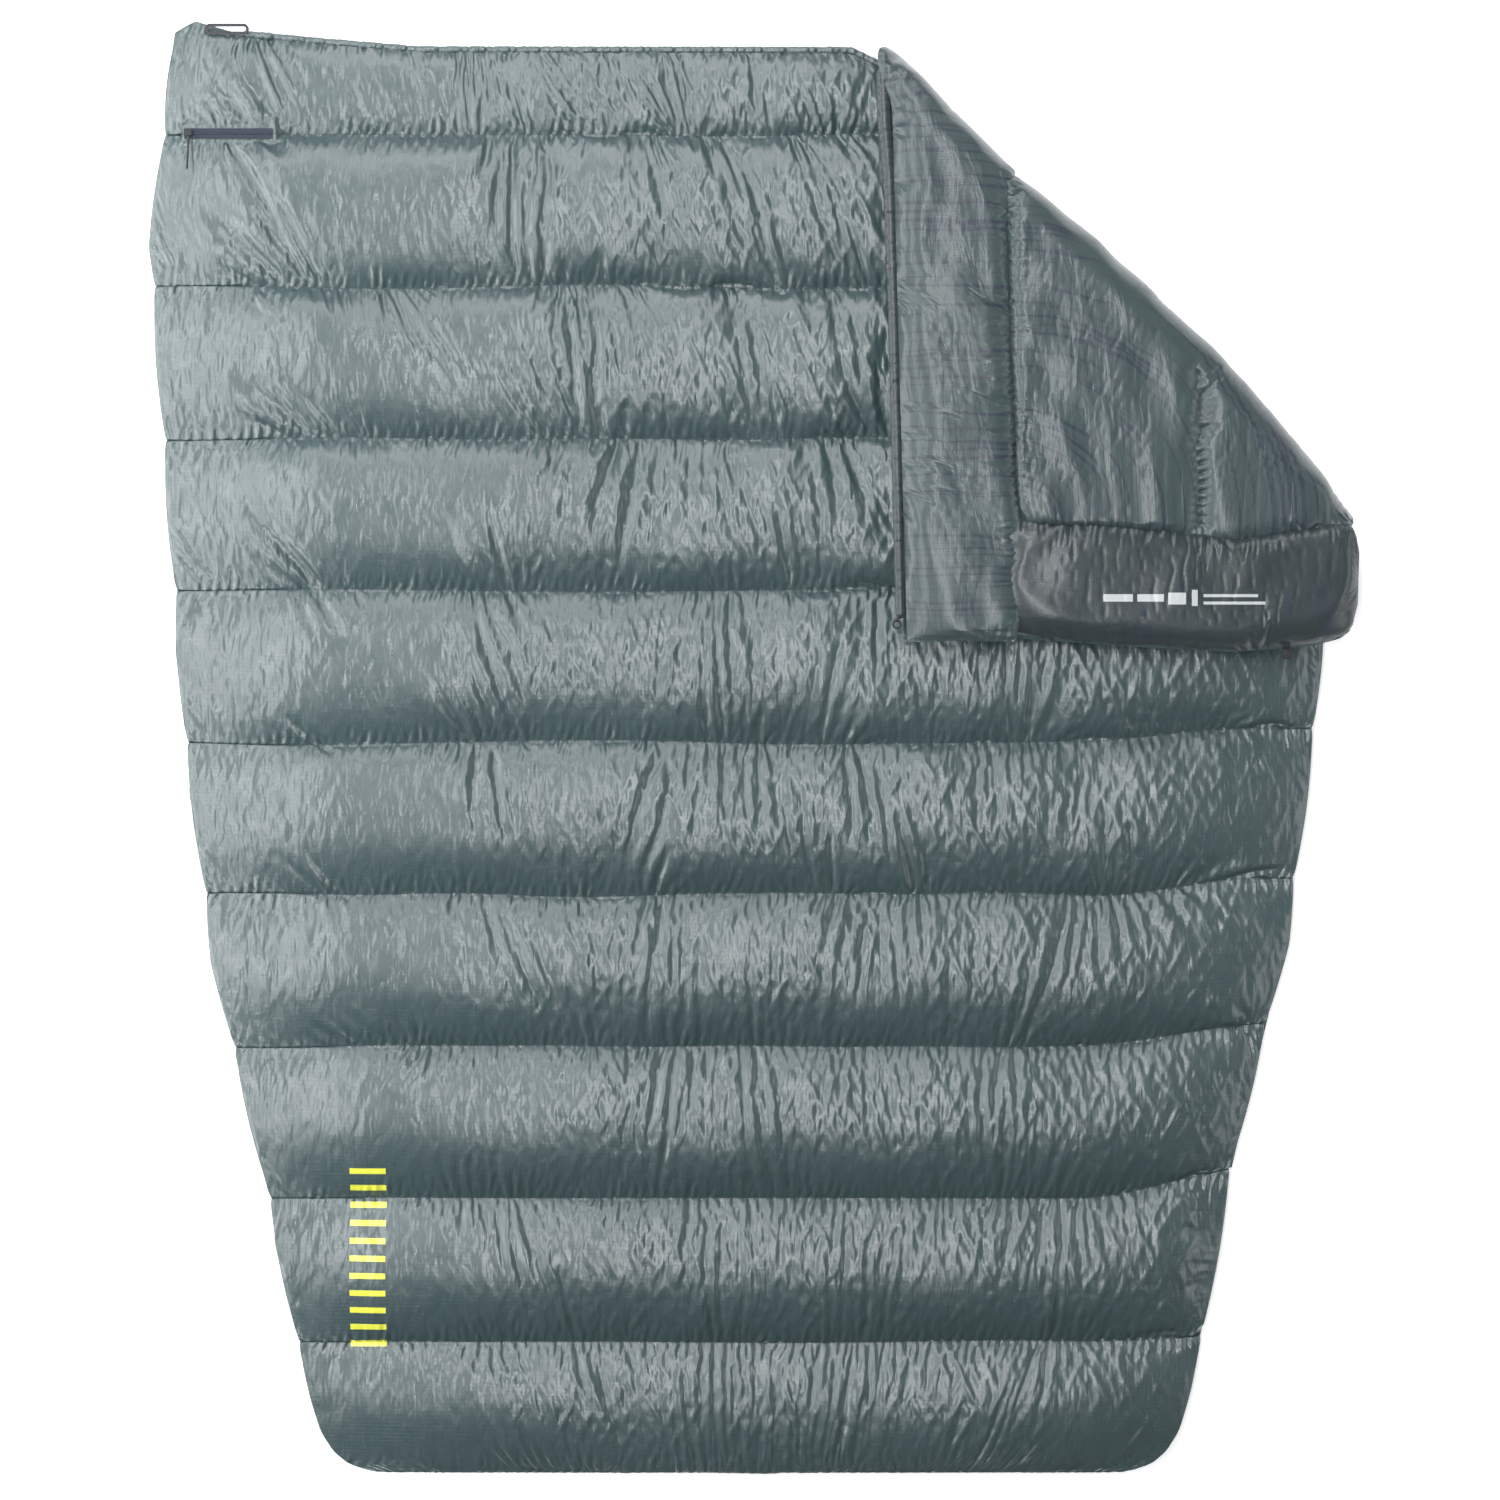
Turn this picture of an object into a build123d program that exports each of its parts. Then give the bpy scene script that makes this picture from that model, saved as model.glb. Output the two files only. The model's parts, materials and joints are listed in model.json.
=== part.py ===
"""A two-person camp quilt, lying flat with one head corner folded over onto it.

+Z is up, +Y runs from the foot to the head, and the origin is on the floor under the middle of
the whole quilt. The folded corner is drawn spread open, level with the rest of the quilt, and is
then turned over about the crease to where it lies at rest.
"""

from build123d import *
import os
from math import sqrt

os.makedirs("parts", exist_ok=True)

# ---- driving dimensions, in millimetres ----

# Outline of the spread quilt: half its width at each distance from the middle, head to foot.
SIDE_EDGE = ((960, 796), (690, 828), (15, 780), (-300, 741), (-590, 671), (-826, 624), (-940, 590))
HEAD_Y = 960
FOOT_Y = -1005
FOOT_HALF_WIDTH = 520

# The crease runs at 45 degrees, where x + y is this much.
FOLD_SUM = 1123
FOLD_GAP = 0.6
HEAD_DIP_X = 100
CORNER_HEAD_Y = 915
CORNER_SIDE_X = 815
CREASE_LOW_GUESS_Y = 330

# Chambers, from the header's seam to the foot chamber's.
HEAD_SEAM_Y = 845
CHAMBER_PITCH = 210
FOOT_SEAM_Y = -824
SEAMS = [HEAD_SEAM_Y - CHAMBER_PITCH * count for count in range(8)] + [FOOT_SEAM_Y]

# Heights over the floor.
LINER_Z = 20
SEAM_Z = 36
CROWN_Z = 62
FLOOR_CLEARANCE = 0.5
HINGE_Z = CROWN_Z + 0.4

# Cloth and down.
CLOTH = 1
BAFFLE_CLOTH = 0.8
BATT = 6
TUBE_WIDTH = 160
HEAD_TUBE_Y = 764
SPREAD_TUBE_Z = 50
TUBE_SPAN_LOW_Y = -585
RIGHT_TUBE_TOP_Y = 285
POCKET_MOUTH_Y = -635
POCKET_FLOOR_Z = 9
POCKET_RIM = 30
POCKET_MOUTH_WIDTH = 1150

# The corner's draft tubes past its panel, where they are spread out beside it.
TUBE_END_TOP_X = 955
TUBE_END_SHOULDER = (968, 900)
TUBE_END_X = 974
SIDE_TUBE_TOP_X = 978
SIDE_TUBE_WIDEST = (988, 524)
SIDE_TUBE_LOW = (985, 325)
SIDE_TUBE_END = (955, 295)

# Head hem and the elastic cord in it.
HEM_RADIUS = 6
HEM_GAP = 1.5
HEM_Z = 30
CORD_RADIUS = 1.5
HEM_LEFT_X = -700
HEM_TURN_RADIUS = 60
CORNER_HEM_END_X = 948
EYELET_GAP = 0.5
EYELET_RADIUS = 4.6
EYELET_HOLE_RADIUS = 2.2
EYELET_THICKNESS = 1.6
CORD_LOOP_RADIUS = 5

# Stash pocket zip, which bridges the groove of the header seam.
ZIP_LEFT_X = -781
ZIP_LENGTH = 122
TAPE_WIDTH = 14
TAPE_Z = 43.6
TAPE_THICKNESS = 0.8
COIL_WIDTH = 2.4
COIL_HEIGHT = 1.6
STOP_LENGTH = 2.5
SLIDER_LENGTH = 9
SLIDER_WIDTH = 8
SLIDER_HEIGHT = 4.6
SLIDER_GAP = 0.3
PULL_RADIUS = 1.5
PULL_RUN = 45
PULL_RISE = 13.5
STOP_RISE = 0.6
SLIDER_CORNER_RADIUS = 2
SLIDER_EDGE_RADIUS = 0.8
PULL_CLEARANCE = 1
POCKET_BAG_DEPTH = 70
POCKET_BAG_INSET = 5
POCKET_BAG_WALL = 0.6
POCKET_NECK_Y = 10.5
POCKET_NECK_THICKNESS = 2
POCKET_BAG_HOLE = 30
POCKET_BAG_THICKNESS = 3
POCKET_BAG_Z = 30

# Webbing loop and the corner gusset that it is sewn to.
GUSSET_TIP_Y = 1005
GUSSET_LEFT_X = -796
GUSSET_PEAK_X = (-775, -762)
GUSSET_RIGHT_X = (-710, -706)
GUSSET_BASE_GAP = 0.5
LOOP_LENGTH = 61
LOOP_WIDTH = 15
LOOP_STRAP = 4
LOOP_THICKNESS = 2.4
LOOP_START_X = -753
LOOP_Y = 990
LOOP_Z = 38

# Snap and its tab, at the outer edge of the side draft tube.
SNAP_Y = 391
SNAP_EDGE_X = 990.5
SNAP_TAB_LENGTH = 14
SNAP_TAB_WIDTH = 14
SNAP_TAB_THICKNESS = 1.6
SNAP_Z = 25
SNAP_RADIUS = 5.5
SNAP_CAP_HEIGHT = 2.4
SNAP_CAP_OFFSET = 8
SNAP_CAP_EDGE_RADIUS = 0.9
SNAP_TAB_RIBS = 4
SNAP_RIB_WIDTH = 1.4

HALF_REACH = 1100
CREASE = Axis((FOLD_SUM / 2, FOLD_SUM / 2, HINGE_Z), (-1, 1, 0))


def save(piece, name):
    """Labels a finished piece and writes it to its own file."""
    piece.label = name
    export_step(piece, f"parts/{name}.step")


def folded(piece):
    """Turns a piece of the spread corner over the crease, to where it rests."""
    return piece.rotate(CREASE, 180)


def half_width(y):
    """Half the spread quilt's width at y, along its straight edge pieces."""
    for (y_high, wide_high), (y_low, wide_low) in zip(SIDE_EDGE, SIDE_EDGE[1:]):
        if y_low <= y <= y_high:
            share = (y - y_low) / (y_high - y_low)
            return wide_low + share * (wide_high - wide_low)
    return SIDE_EDGE[0][1]


def arch_height(y, y_low, y_high):
    """Height of the arch that the shell makes between two seams."""
    half_span = (y_high - y_low) / 2
    rise = CROWN_Z - SEAM_Z
    radius = (half_span**2 + rise**2) / (2 * rise)
    from_middle = y - (y_low + y_high) / 2
    return CROWN_Z - radius + sqrt(radius**2 - from_middle**2)


def base_outline():
    """Plan of the quilt without its folded corner, clockwise from the head's left end."""
    crease_sum = FOLD_SUM - FOLD_GAP
    right = [(wide, y) for y, wide in SIDE_EDGE if y < crease_sum - wide]
    crease_low_y = crease_sum - half_width(CREASE_LOW_GUESS_Y)
    points = [(-SIDE_EDGE[0][1], HEAD_Y), (HEAD_DIP_X, HEAD_Y)]
    points += [(crease_sum - CORNER_HEAD_Y - 6, CORNER_HEAD_Y + 6)]
    points += [(crease_sum - crease_low_y, crease_low_y)]
    points += right
    points += [(FOOT_HALF_WIDTH, FOOT_Y), (-FOOT_HALF_WIDTH, FOOT_Y)]
    points += [(-wide, y) for y, wide in reversed(SIDE_EDGE[1:])]
    return points


def corner_outline():
    """Plan of the spread corner's quilted panel: a right triangle along the crease."""
    crease_sum = FOLD_SUM + FOLD_GAP
    return [
        (crease_sum - CORNER_HEAD_Y, CORNER_HEAD_Y),
        (CORNER_SIDE_X, CORNER_HEAD_Y),
        (CORNER_SIDE_X, crease_sum - CORNER_SIDE_X),
    ]


def plan_block(points, inset, z_low, z_high):
    """An upright block with a given plan, drawn in by inset all round."""
    with BuildPart() as block:
        with BuildSketch(Plane.XY.offset(z_low)):
            with BuildLine():
                Polyline(*points, close=True)
            make_face()
            if inset:
                offset(amount=-inset, kind=Kind.INTERSECTION)
        extrude(amount=z_high - z_low)
    return block.part


def arched_block(edges, lowered, floor):
    """A block across the quilt with one arch between each two neighbouring seams."""
    with BuildPart() as block:
        with BuildSketch(Plane.YZ):
            with BuildLine():
                for low, high in zip(edges, edges[1:]):
                    ThreePointArc(
                        (low, SEAM_Z - lowered),
                        ((low + high) / 2, CROWN_Z - lowered),
                        (high, SEAM_Z - lowered),
                    )
                Line((edges[-1], SEAM_Z - lowered), (edges[-1], floor))
                Line((edges[-1], floor), (edges[0], floor))
                Line((edges[0], floor), (edges[0], SEAM_Z - lowered))
            make_face()
        extrude(amount=HALF_REACH, both=True)
    return block.part


def chamber_block(y_low, y_high, trim, lowered, floor):
    """The space of one chamber, trimmed at its two walls and lowered from the shell."""
    start = y_low + trim
    end = y_high - trim
    shoulder = arch_height(start, y_low, y_high) - lowered
    with BuildPart() as block:
        with BuildSketch(Plane.YZ):
            with BuildLine():
                Line((start, floor), (end, floor))
                Line((end, floor), (end, shoulder))
                ThreePointArc(
                    (end, shoulder), ((start + end) / 2, CROWN_Z - lowered), (start, shoulder)
                )
                Line((start, shoulder), (start, floor))
            make_face()
        extrude(amount=HALF_REACH, both=True)
    return block.part


def quilted_shell(outline, edges):
    """The shell cloth: an arched skin with side walls that reach down to the liner."""
    with BuildPart() as hollow:
        add(arched_block(edges, CLOTH, LINER_Z - CLOTH))
        add(plan_block(outline, CLOTH, 0, CROWN_Z), mode=Mode.INTERSECT)
    with BuildPart() as shell:
        add(arched_block(edges, 0, LINER_Z))
        add(plan_block(outline, 0, 0, CROWN_Z), mode=Mode.INTERSECT)
        add(hollow.part, mode=Mode.SUBTRACT)
    return shell.part


def liner_sheet(outline):
    """The liner cloth, level, inside the shell's side walls."""
    with BuildPart() as liner:
        add(plan_block(outline, CLOTH, LINER_Z, LINER_Z + CLOTH))
    return liner.part


def down_fill(outline, y_low, y_high):
    """The down in one chamber: a closed batt against all its walls, with an air core."""
    wall = BAFFLE_CLOTH / 2
    base = LINER_Z + CLOTH
    with BuildPart() as core:
        add(chamber_block(y_low, y_high, wall + BATT, CLOTH + BATT, base + BATT))
        add(plan_block(outline, CLOTH + BATT, 0, CROWN_Z), mode=Mode.INTERSECT)
    with BuildPart() as fill:
        add(chamber_block(y_low, y_high, wall, CLOTH, base))
        add(plan_block(outline, CLOTH, 0, CROWN_Z), mode=Mode.INTERSECT)
        add(core.part, mode=Mode.SUBTRACT)
    return fill.part


def baffle_wall(outline, y):
    """The upright wall of mesh between two chambers."""
    height = SEAM_Z - LINER_Z - 2 * CLOTH
    with BuildPart() as wall:
        with Locations((0, y, LINER_Z + CLOTH + height / 2)):
            Box(2 * HALF_REACH, BAFFLE_CLOTH, height)
        add(plan_block(outline, CLOTH, 0, CROWN_Z), mode=Mode.INTERSECT)
    return wall.part


def tube_casing(points, z_low, z_high):
    """A draft tube's cloth, as a closed hollow casing."""
    with BuildPart() as casing:
        add(plan_block(points, 0, z_low, z_high))
        add(plan_block(points, CLOTH, z_low + CLOTH, z_high - CLOTH), mode=Mode.SUBTRACT)
    return casing.part


def tube_fill(points, z_low, z_high):
    """The down inside a draft tube, a closed batt with an air core where it is thick enough."""
    inside = CLOTH + BATT
    with BuildPart() as fill:
        add(plan_block(points, CLOTH, z_low + CLOTH, z_high - CLOTH))
        if z_high - z_low > 2 * inside + BATT / 2:
            add(plan_block(points, inside, z_low + inside, z_high - inside), mode=Mode.SUBTRACT)
    return fill.part


def side_tube_outline(side, y_top, y_low):
    """Plan of a draft tube tucked under the quilt's side edge."""
    levels = [y_top] + [y for y, _ in SIDE_EDGE if y_low < y < y_top] + [y_low]
    outer = [(side * (half_width(y) - 2), y) for y in levels]
    inner = [(side * (half_width(y) - 2 - TUBE_WIDTH), y) for y in reversed(levels)]
    return outer + inner


def head_tube_outline():
    """Plan of the draft tube tucked under the header, up to the crease."""
    crease_sum = FOLD_SUM - 3 * FOLD_GAP
    return [
        (-half_width(HEAD_Y) + 4, HEAD_Y - 4),
        (HEAD_DIP_X - 4, HEAD_Y - 4),
        (crease_sum - CORNER_HEAD_Y - 4, CORNER_HEAD_Y + 2),
        (crease_sum - HEAD_TUBE_Y, HEAD_TUBE_Y),
        (-half_width(HEAD_TUBE_Y) + 4, HEAD_TUBE_Y),
    ]


def corner_side_tube_outline():
    """Plan of the side draft tube where it is spread out beside the corner's panel."""
    return [
        (CORNER_SIDE_X + 1, HEAD_TUBE_Y - 2),
        (SIDE_TUBE_TOP_X, HEAD_TUBE_Y - 2),
        SIDE_TUBE_WIDEST,
        SIDE_TUBE_LOW,
        SIDE_TUBE_END,
        (FOLD_SUM + 2 - SIDE_TUBE_END[1], SIDE_TUBE_END[1]),
        (CORNER_SIDE_X + 1, FOLD_SUM + 2 - CORNER_SIDE_X),
    ]


def corner_head_tube_outline():
    """Plan of the head draft tube under the corner's header, up to the panel's side."""
    crease_sum = FOLD_SUM + 3 * FOLD_GAP
    return [
        (crease_sum - CORNER_HEAD_Y, CORNER_HEAD_Y),
        (CORNER_SIDE_X, CORNER_HEAD_Y),
        (CORNER_SIDE_X, HEAD_TUBE_Y),
        (crease_sum - HEAD_TUBE_Y, HEAD_TUBE_Y),
    ]


def corner_tube_end_outline():
    """Plan of the head tube's free end, which stands out past the panel's side."""
    return [
        (CORNER_SIDE_X + 1, CORNER_HEAD_Y),
        (TUBE_END_TOP_X, CORNER_HEAD_Y),
        TUBE_END_SHOULDER,
        (TUBE_END_X, HEAD_TUBE_Y),
        (CORNER_SIDE_X + 1, HEAD_TUBE_Y),
    ]


def foot_pocket_panel():
    """The tray under the foot chambers, sewn up at its sides and end and open to the head."""
    levels = [POCKET_MOUTH_Y] + [y for y, _ in SIDE_EDGE if y < POCKET_MOUTH_Y]
    right = [(half_width(y) - 3, y) for y in levels]
    left = [(-x, y) for x, y in reversed(right)]
    outline = right + [(FOOT_HALF_WIDTH - 3, FOOT_Y + 3), (-FOOT_HALF_WIDTH + 3, FOOT_Y + 3)] + left
    with BuildPart() as room:
        add(plan_block(outline, POCKET_RIM, POCKET_FLOOR_Z, LINER_Z))
        with Locations((0, POCKET_MOUTH_Y - POCKET_RIM, (POCKET_FLOOR_Z + LINER_Z) / 2)):
            Box(POCKET_MOUTH_WIDTH, 2 * POCKET_RIM + 2, LINER_Z - POCKET_FLOOR_Z)
    with BuildPart() as panel:
        add(plan_block(outline, 0, 0, LINER_Z))
        add(room.part, mode=Mode.SUBTRACT)
        add(plan_block(outline, 4 * CLOTH, CLOTH, POCKET_FLOOR_Z - CLOTH), mode=Mode.SUBTRACT)
    with BuildPart() as fill:
        add(plan_block(outline, 4 * CLOTH, CLOTH, POCKET_FLOOR_Z - CLOTH))
    return panel.part, fill.part


def base_hem_path():
    """The head hem's centre line, along the head edge and down to the crease."""
    reach = HEM_RADIUS + HEM_GAP
    end_sum = FOLD_SUM - 6
    end_y = CORNER_HEAD_Y + 3 * reach
    with BuildLine() as path:
        FilletPolyline(
            (HEM_LEFT_X, HEAD_Y + reach, HEM_Z),
            (HEAD_DIP_X + 5, HEAD_Y + reach, HEM_Z),
            (end_sum - end_y, end_y, HEM_Z),
            radius=HEM_TURN_RADIUS,
        )
    return path.line


def corner_hem_path():
    """The head hem's centre line on the spread corner."""
    y = CORNER_HEAD_Y + HEM_RADIUS + HEM_GAP
    with BuildLine() as path:
        Line((FOLD_SUM + 10 - y, y, HEM_Z), (CORNER_HEM_END_X, y, HEM_Z))
    return path.line


def hem_channel(path):
    """A round cloth channel swept along the head edge."""
    with BuildPart() as channel:
        with BuildSketch(Plane(path @ 0, z_dir=path % 0)):
            Circle(HEM_RADIUS)
            Circle(HEM_RADIUS - CLOTH, mode=Mode.SUBTRACT)
        sweep(path=path)
    return channel.part


def elastic_cord(path):
    """The round elastic cord inside a stretch of the hem."""
    with BuildPart() as cord:
        with BuildSketch(Plane(path @ 0, z_dir=path % 0)):
            Circle(CORD_RADIUS)
        sweep(path=path)
    return cord.part


def zip_tapes():
    """The two woven tapes of the stash pocket's zip, one each side of the coil."""
    strip = (TAPE_WIDTH - COIL_WIDTH) / 2
    middle_x = ZIP_LEFT_X + ZIP_LENGTH / 2
    offset_y = (COIL_WIDTH + strip) / 2
    with BuildPart() as tapes:
        with Locations(
            (middle_x, HEAD_SEAM_Y + offset_y, TAPE_Z + TAPE_THICKNESS / 2),
            (middle_x, HEAD_SEAM_Y - offset_y, TAPE_Z + TAPE_THICKNESS / 2),
        ):
            Box(ZIP_LENGTH, strip, TAPE_THICKNESS)
    return tapes.part


def zip_coil():
    """The closed coil between the tapes, rounded on top."""
    with BuildPart() as coil:
        with BuildSketch(Plane.YZ.offset(ZIP_LEFT_X + STOP_LENGTH)):
            with Locations((HEAD_SEAM_Y, TAPE_Z + COIL_HEIGHT / 2)):
                Rectangle(COIL_WIDTH, COIL_HEIGHT)
            fillet(vertices().group_by(Axis.Z)[-1], COIL_HEIGHT / 3)
        extrude(amount=ZIP_LENGTH - 2 * STOP_LENGTH)
    return coil.part


def zip_stops():
    """The crimped stops at the zip's two ends."""
    height = COIL_HEIGHT + STOP_RISE
    with BuildPart() as stops:
        with Locations(
            (ZIP_LEFT_X + STOP_LENGTH / 2, HEAD_SEAM_Y, TAPE_Z + height / 2),
            (ZIP_LEFT_X + ZIP_LENGTH - STOP_LENGTH / 2, HEAD_SEAM_Y, TAPE_Z + height / 2),
        ):
            Box(STOP_LENGTH, COIL_WIDTH, height)
    return stops.part


def zip_slider():
    """The slider: a saddle over the coil with an eye for the pull at its foot side."""
    x = ZIP_LEFT_X + STOP_LENGTH + SLIDER_GAP
    bottom = TAPE_Z + TAPE_THICKNESS + SLIDER_GAP
    middle = (x + SLIDER_LENGTH / 2, HEAD_SEAM_Y, bottom + SLIDER_HEIGHT / 2)
    tunnel = COIL_HEIGHT - TAPE_THICKNESS + SLIDER_GAP
    with BuildPart() as slider:
        with Locations(middle):
            Box(SLIDER_LENGTH, SLIDER_WIDTH, SLIDER_HEIGHT)
        fillet(edges().filter_by(Axis.Z), SLIDER_CORNER_RADIUS)
        fillet(faces().sort_by(Axis.Z)[-1].edges(), SLIDER_EDGE_RADIUS)
        with Locations((middle[0], HEAD_SEAM_Y, bottom)):
            Box(SLIDER_LENGTH + 2, COIL_WIDTH + 2 * SLIDER_GAP, 2 * tunnel, mode=Mode.SUBTRACT)
    return slider.part


def zip_pull():
    """The cord pull: a round stem that lies on the quilt, with a sealed end."""
    x = ZIP_LEFT_X + STOP_LENGTH + SLIDER_GAP + SLIDER_LENGTH / 2
    start_y = HEAD_SEAM_Y - SLIDER_WIDTH / 2 - PULL_RADIUS - SLIDER_GAP
    start_z = TAPE_Z + TAPE_THICKNESS + SLIDER_GAP + SLIDER_HEIGHT + PULL_CLEARANCE
    with BuildPart() as pull:
        with BuildLine() as stem:
            Line((x, start_y, start_z), (x, start_y - PULL_RUN, start_z + PULL_RISE))
        with BuildSketch(Plane(stem.line @ 0, z_dir=stem.line % 0)):
            Circle(PULL_RADIUS)
        sweep()
        with Locations(stem.line @ 0, stem.line @ 1):
            Sphere(PULL_RADIUS)
    return pull.part


def zip_pocket_bag():
    """The flat stash pocket bag behind the zip, with its neck up to the header cloth."""
    x = ZIP_LEFT_X + ZIP_LENGTH / 2
    y = HEAD_SEAM_Y + POCKET_NECK_Y
    width = ZIP_LENGTH - 2 * POCKET_BAG_INSET
    middle = (x, y + POCKET_BAG_DEPTH / 2, POCKET_BAG_Z + POCKET_BAG_THICKNESS / 2)
    with BuildPart() as bag:
        with Locations(middle):
            Box(width, POCKET_BAG_DEPTH, POCKET_BAG_THICKNESS)
        with Locations(middle):
            Box(
                width - 2 * POCKET_BAG_WALL,
                POCKET_BAG_DEPTH - 2 * POCKET_BAG_WALL,
                POCKET_BAG_THICKNESS - 2 * POCKET_BAG_WALL,
                mode=Mode.SUBTRACT,
            )
        neck_top = arch_height(y, HEAD_SEAM_Y, HEAD_Y) - CLOTH
        neck_low = POCKET_BAG_Z + POCKET_BAG_THICKNESS - FLOOR_CLEARANCE
        with Locations((x, y + POCKET_NECK_THICKNESS / 2, (neck_low + neck_top) / 2)):
            Box(width - 4, POCKET_NECK_THICKNESS, neck_top - neck_low)
    return bag.part


def header_fill():
    """The header's down, cut away for the neck of the stash pocket bag."""
    neck_y = HEAD_SEAM_Y + POCKET_NECK_Y + POCKET_NECK_THICKNESS / 2
    width = ZIP_LENGTH - 2 * POCKET_BAG_INSET - 2
    with BuildPart() as fill:
        add(down_fill(base_outline(), HEAD_SEAM_Y, HEAD_Y))
        with Locations((ZIP_LEFT_X + ZIP_LENGTH / 2, neck_y, POCKET_BAG_Z + POCKET_BAG_HOLE / 2)):
            Box(width, 2 * POCKET_NECK_THICKNESS, POCKET_BAG_HOLE, mode=Mode.SUBTRACT)
    return fill.part


def corner_gusset():
    """The raised reinforcement at the head's left corner, which the webbing loop is sewn to."""
    with BuildPart() as gusset:
        with BuildSketch(Plane.XY.offset(LINER_Z)):
            with BuildLine():
                Polyline(
                    (GUSSET_LEFT_X, HEAD_Y + GUSSET_BASE_GAP),
                    (GUSSET_PEAK_X[0], GUSSET_TIP_Y - 6),
                    (GUSSET_PEAK_X[1], GUSSET_TIP_Y),
                    (LOOP_START_X - 1, GUSSET_TIP_Y - 7),
                    (GUSSET_RIGHT_X[0], HEAD_Y + 12),
                    (GUSSET_RIGHT_X[1], HEAD_Y + GUSSET_BASE_GAP),
                    close=True,
                )
            make_face()
        extrude(amount=LOOP_Z - LINER_Z - 2)
    return gusset.part


def webbing_loop():
    """The flat webbing loop, sewn down at its left end."""
    with BuildPart() as loop:
        with BuildSketch(Plane.XY.offset(LOOP_Z)):
            with Locations((LOOP_START_X + LOOP_LENGTH / 2, LOOP_Y)):
                SlotOverall(LOOP_LENGTH, LOOP_WIDTH)
                SlotOverall(
                    LOOP_LENGTH - 2 * LOOP_STRAP, LOOP_WIDTH - 2 * LOOP_STRAP, mode=Mode.SUBTRACT
                )
        extrude(amount=LOOP_THICKNESS)
    return loop.part


def snap_tab():
    """The ribbed tab of the snap, at the spread tube's outer edge."""
    with BuildPart() as tab:
        with Locations((SNAP_EDGE_X + SNAP_TAB_LENGTH / 2, SNAP_Y, SNAP_Z)):
            Box(SNAP_TAB_LENGTH, SNAP_TAB_WIDTH, SNAP_TAB_THICKNESS)
        fillet(edges().filter_by(Axis.Z).group_by(Axis.X)[-1], 3)
        with GridLocations(0, SNAP_TAB_WIDTH / SNAP_TAB_RIBS, 1, SNAP_TAB_RIBS):
            with Locations((SNAP_EDGE_X + 1.2, SNAP_Y, SNAP_Z)):
                Box(SNAP_TAB_THICKNESS, SNAP_RIB_WIDTH, SNAP_TAB_THICKNESS + 0.8)
    return tab.part


def snap_cap():
    """The snap's round cap, on the tab's liner side, with a rolled edge."""
    top = SNAP_Z - SNAP_TAB_THICKNESS / 2
    with BuildPart() as cap:
        with BuildSketch(Plane.XY.offset(top)):
            with Locations((SNAP_EDGE_X + SNAP_CAP_OFFSET, SNAP_Y)):
                Circle(SNAP_RADIUS)
        extrude(amount=-SNAP_CAP_HEIGHT)
        fillet(faces().sort_by(Axis.Z)[0].edges(), SNAP_CAP_EDGE_RADIUS)
    return cap.part


def cord_eyelet():
    """The ring at the hem's outer end, where the elastic cord comes out."""
    y = CORNER_HEAD_Y + HEM_RADIUS + HEM_GAP
    with BuildPart() as eyelet:
        with BuildSketch(Plane.YZ.offset(CORNER_HEM_END_X + EYELET_GAP)):
            with Locations((y, HEM_Z)):
                Circle(EYELET_RADIUS)
                Circle(EYELET_HOLE_RADIUS, mode=Mode.SUBTRACT)
        extrude(amount=EYELET_THICKNESS)
    return eyelet.part


def cord_loop():
    """The small knotted loop at the elastic cord's end."""
    y = CORNER_HEAD_Y + HEM_RADIUS + HEM_GAP
    start_x = CORNER_HEM_END_X + 2 * EYELET_GAP + EYELET_THICKNESS
    with BuildPart() as loop:
        with Locations((start_x + CORD_LOOP_RADIUS + CORD_RADIUS, y, HEM_Z)):
            Torus(CORD_LOOP_RADIUS, CORD_RADIUS)
    return loop.part


# ---- the quilt as it lies ----

base_edges = [FOOT_Y] + SEAMS[::-1] + [HEAD_Y]
save(quilted_shell(base_outline(), base_edges), "outer_shell")
save(liner_sheet(base_outline()), "inner_liner")
save(header_fill(), "down_fill_header")
for number, (high, low) in enumerate(zip(SEAMS, SEAMS[1:]), 1):
    save(down_fill(base_outline(), low, high), f"down_fill_{number}")
save(down_fill(base_outline(), FOOT_Y, FOOT_SEAM_Y), "down_fill_foot")
for number, seam in enumerate(SEAMS, 1):
    save(baffle_wall(base_outline(), seam), f"baffle_wall_{number}")

left_tube = side_tube_outline(-1, HEAD_TUBE_Y - 2, TUBE_SPAN_LOW_Y)
right_tube = side_tube_outline(1, RIGHT_TUBE_TOP_Y, TUBE_SPAN_LOW_Y)
head_tube = head_tube_outline()
for outline, name in ((left_tube, "left"), (right_tube, "right"), (head_tube, "head")):
    save(tube_casing(outline, 0, LINER_Z), f"{name}_draft_tube")
    save(tube_fill(outline, 0, LINER_Z), f"{name}_draft_tube_fill")

pocket_panel, pocket_fill = foot_pocket_panel()
save(pocket_panel, "foot_pocket_panel")
save(pocket_fill, "foot_pocket_fill")
save(hem_channel(base_hem_path()), "head_hem")
save(elastic_cord(base_hem_path()), "head_elastic")

save(zip_tapes(), "zip_tapes")
save(zip_coil(), "zip_coil")
save(zip_stops(), "zip_stops")
save(zip_slider(), "zip_slider")
save(zip_pull(), "zip_pull")
save(zip_pocket_bag(), "zip_pocket_bag")
save(corner_gusset(), "corner_gusset")
save(webbing_loop(), "webbing_loop")

# ---- the folded corner, drawn spread and turned over ----

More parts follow.
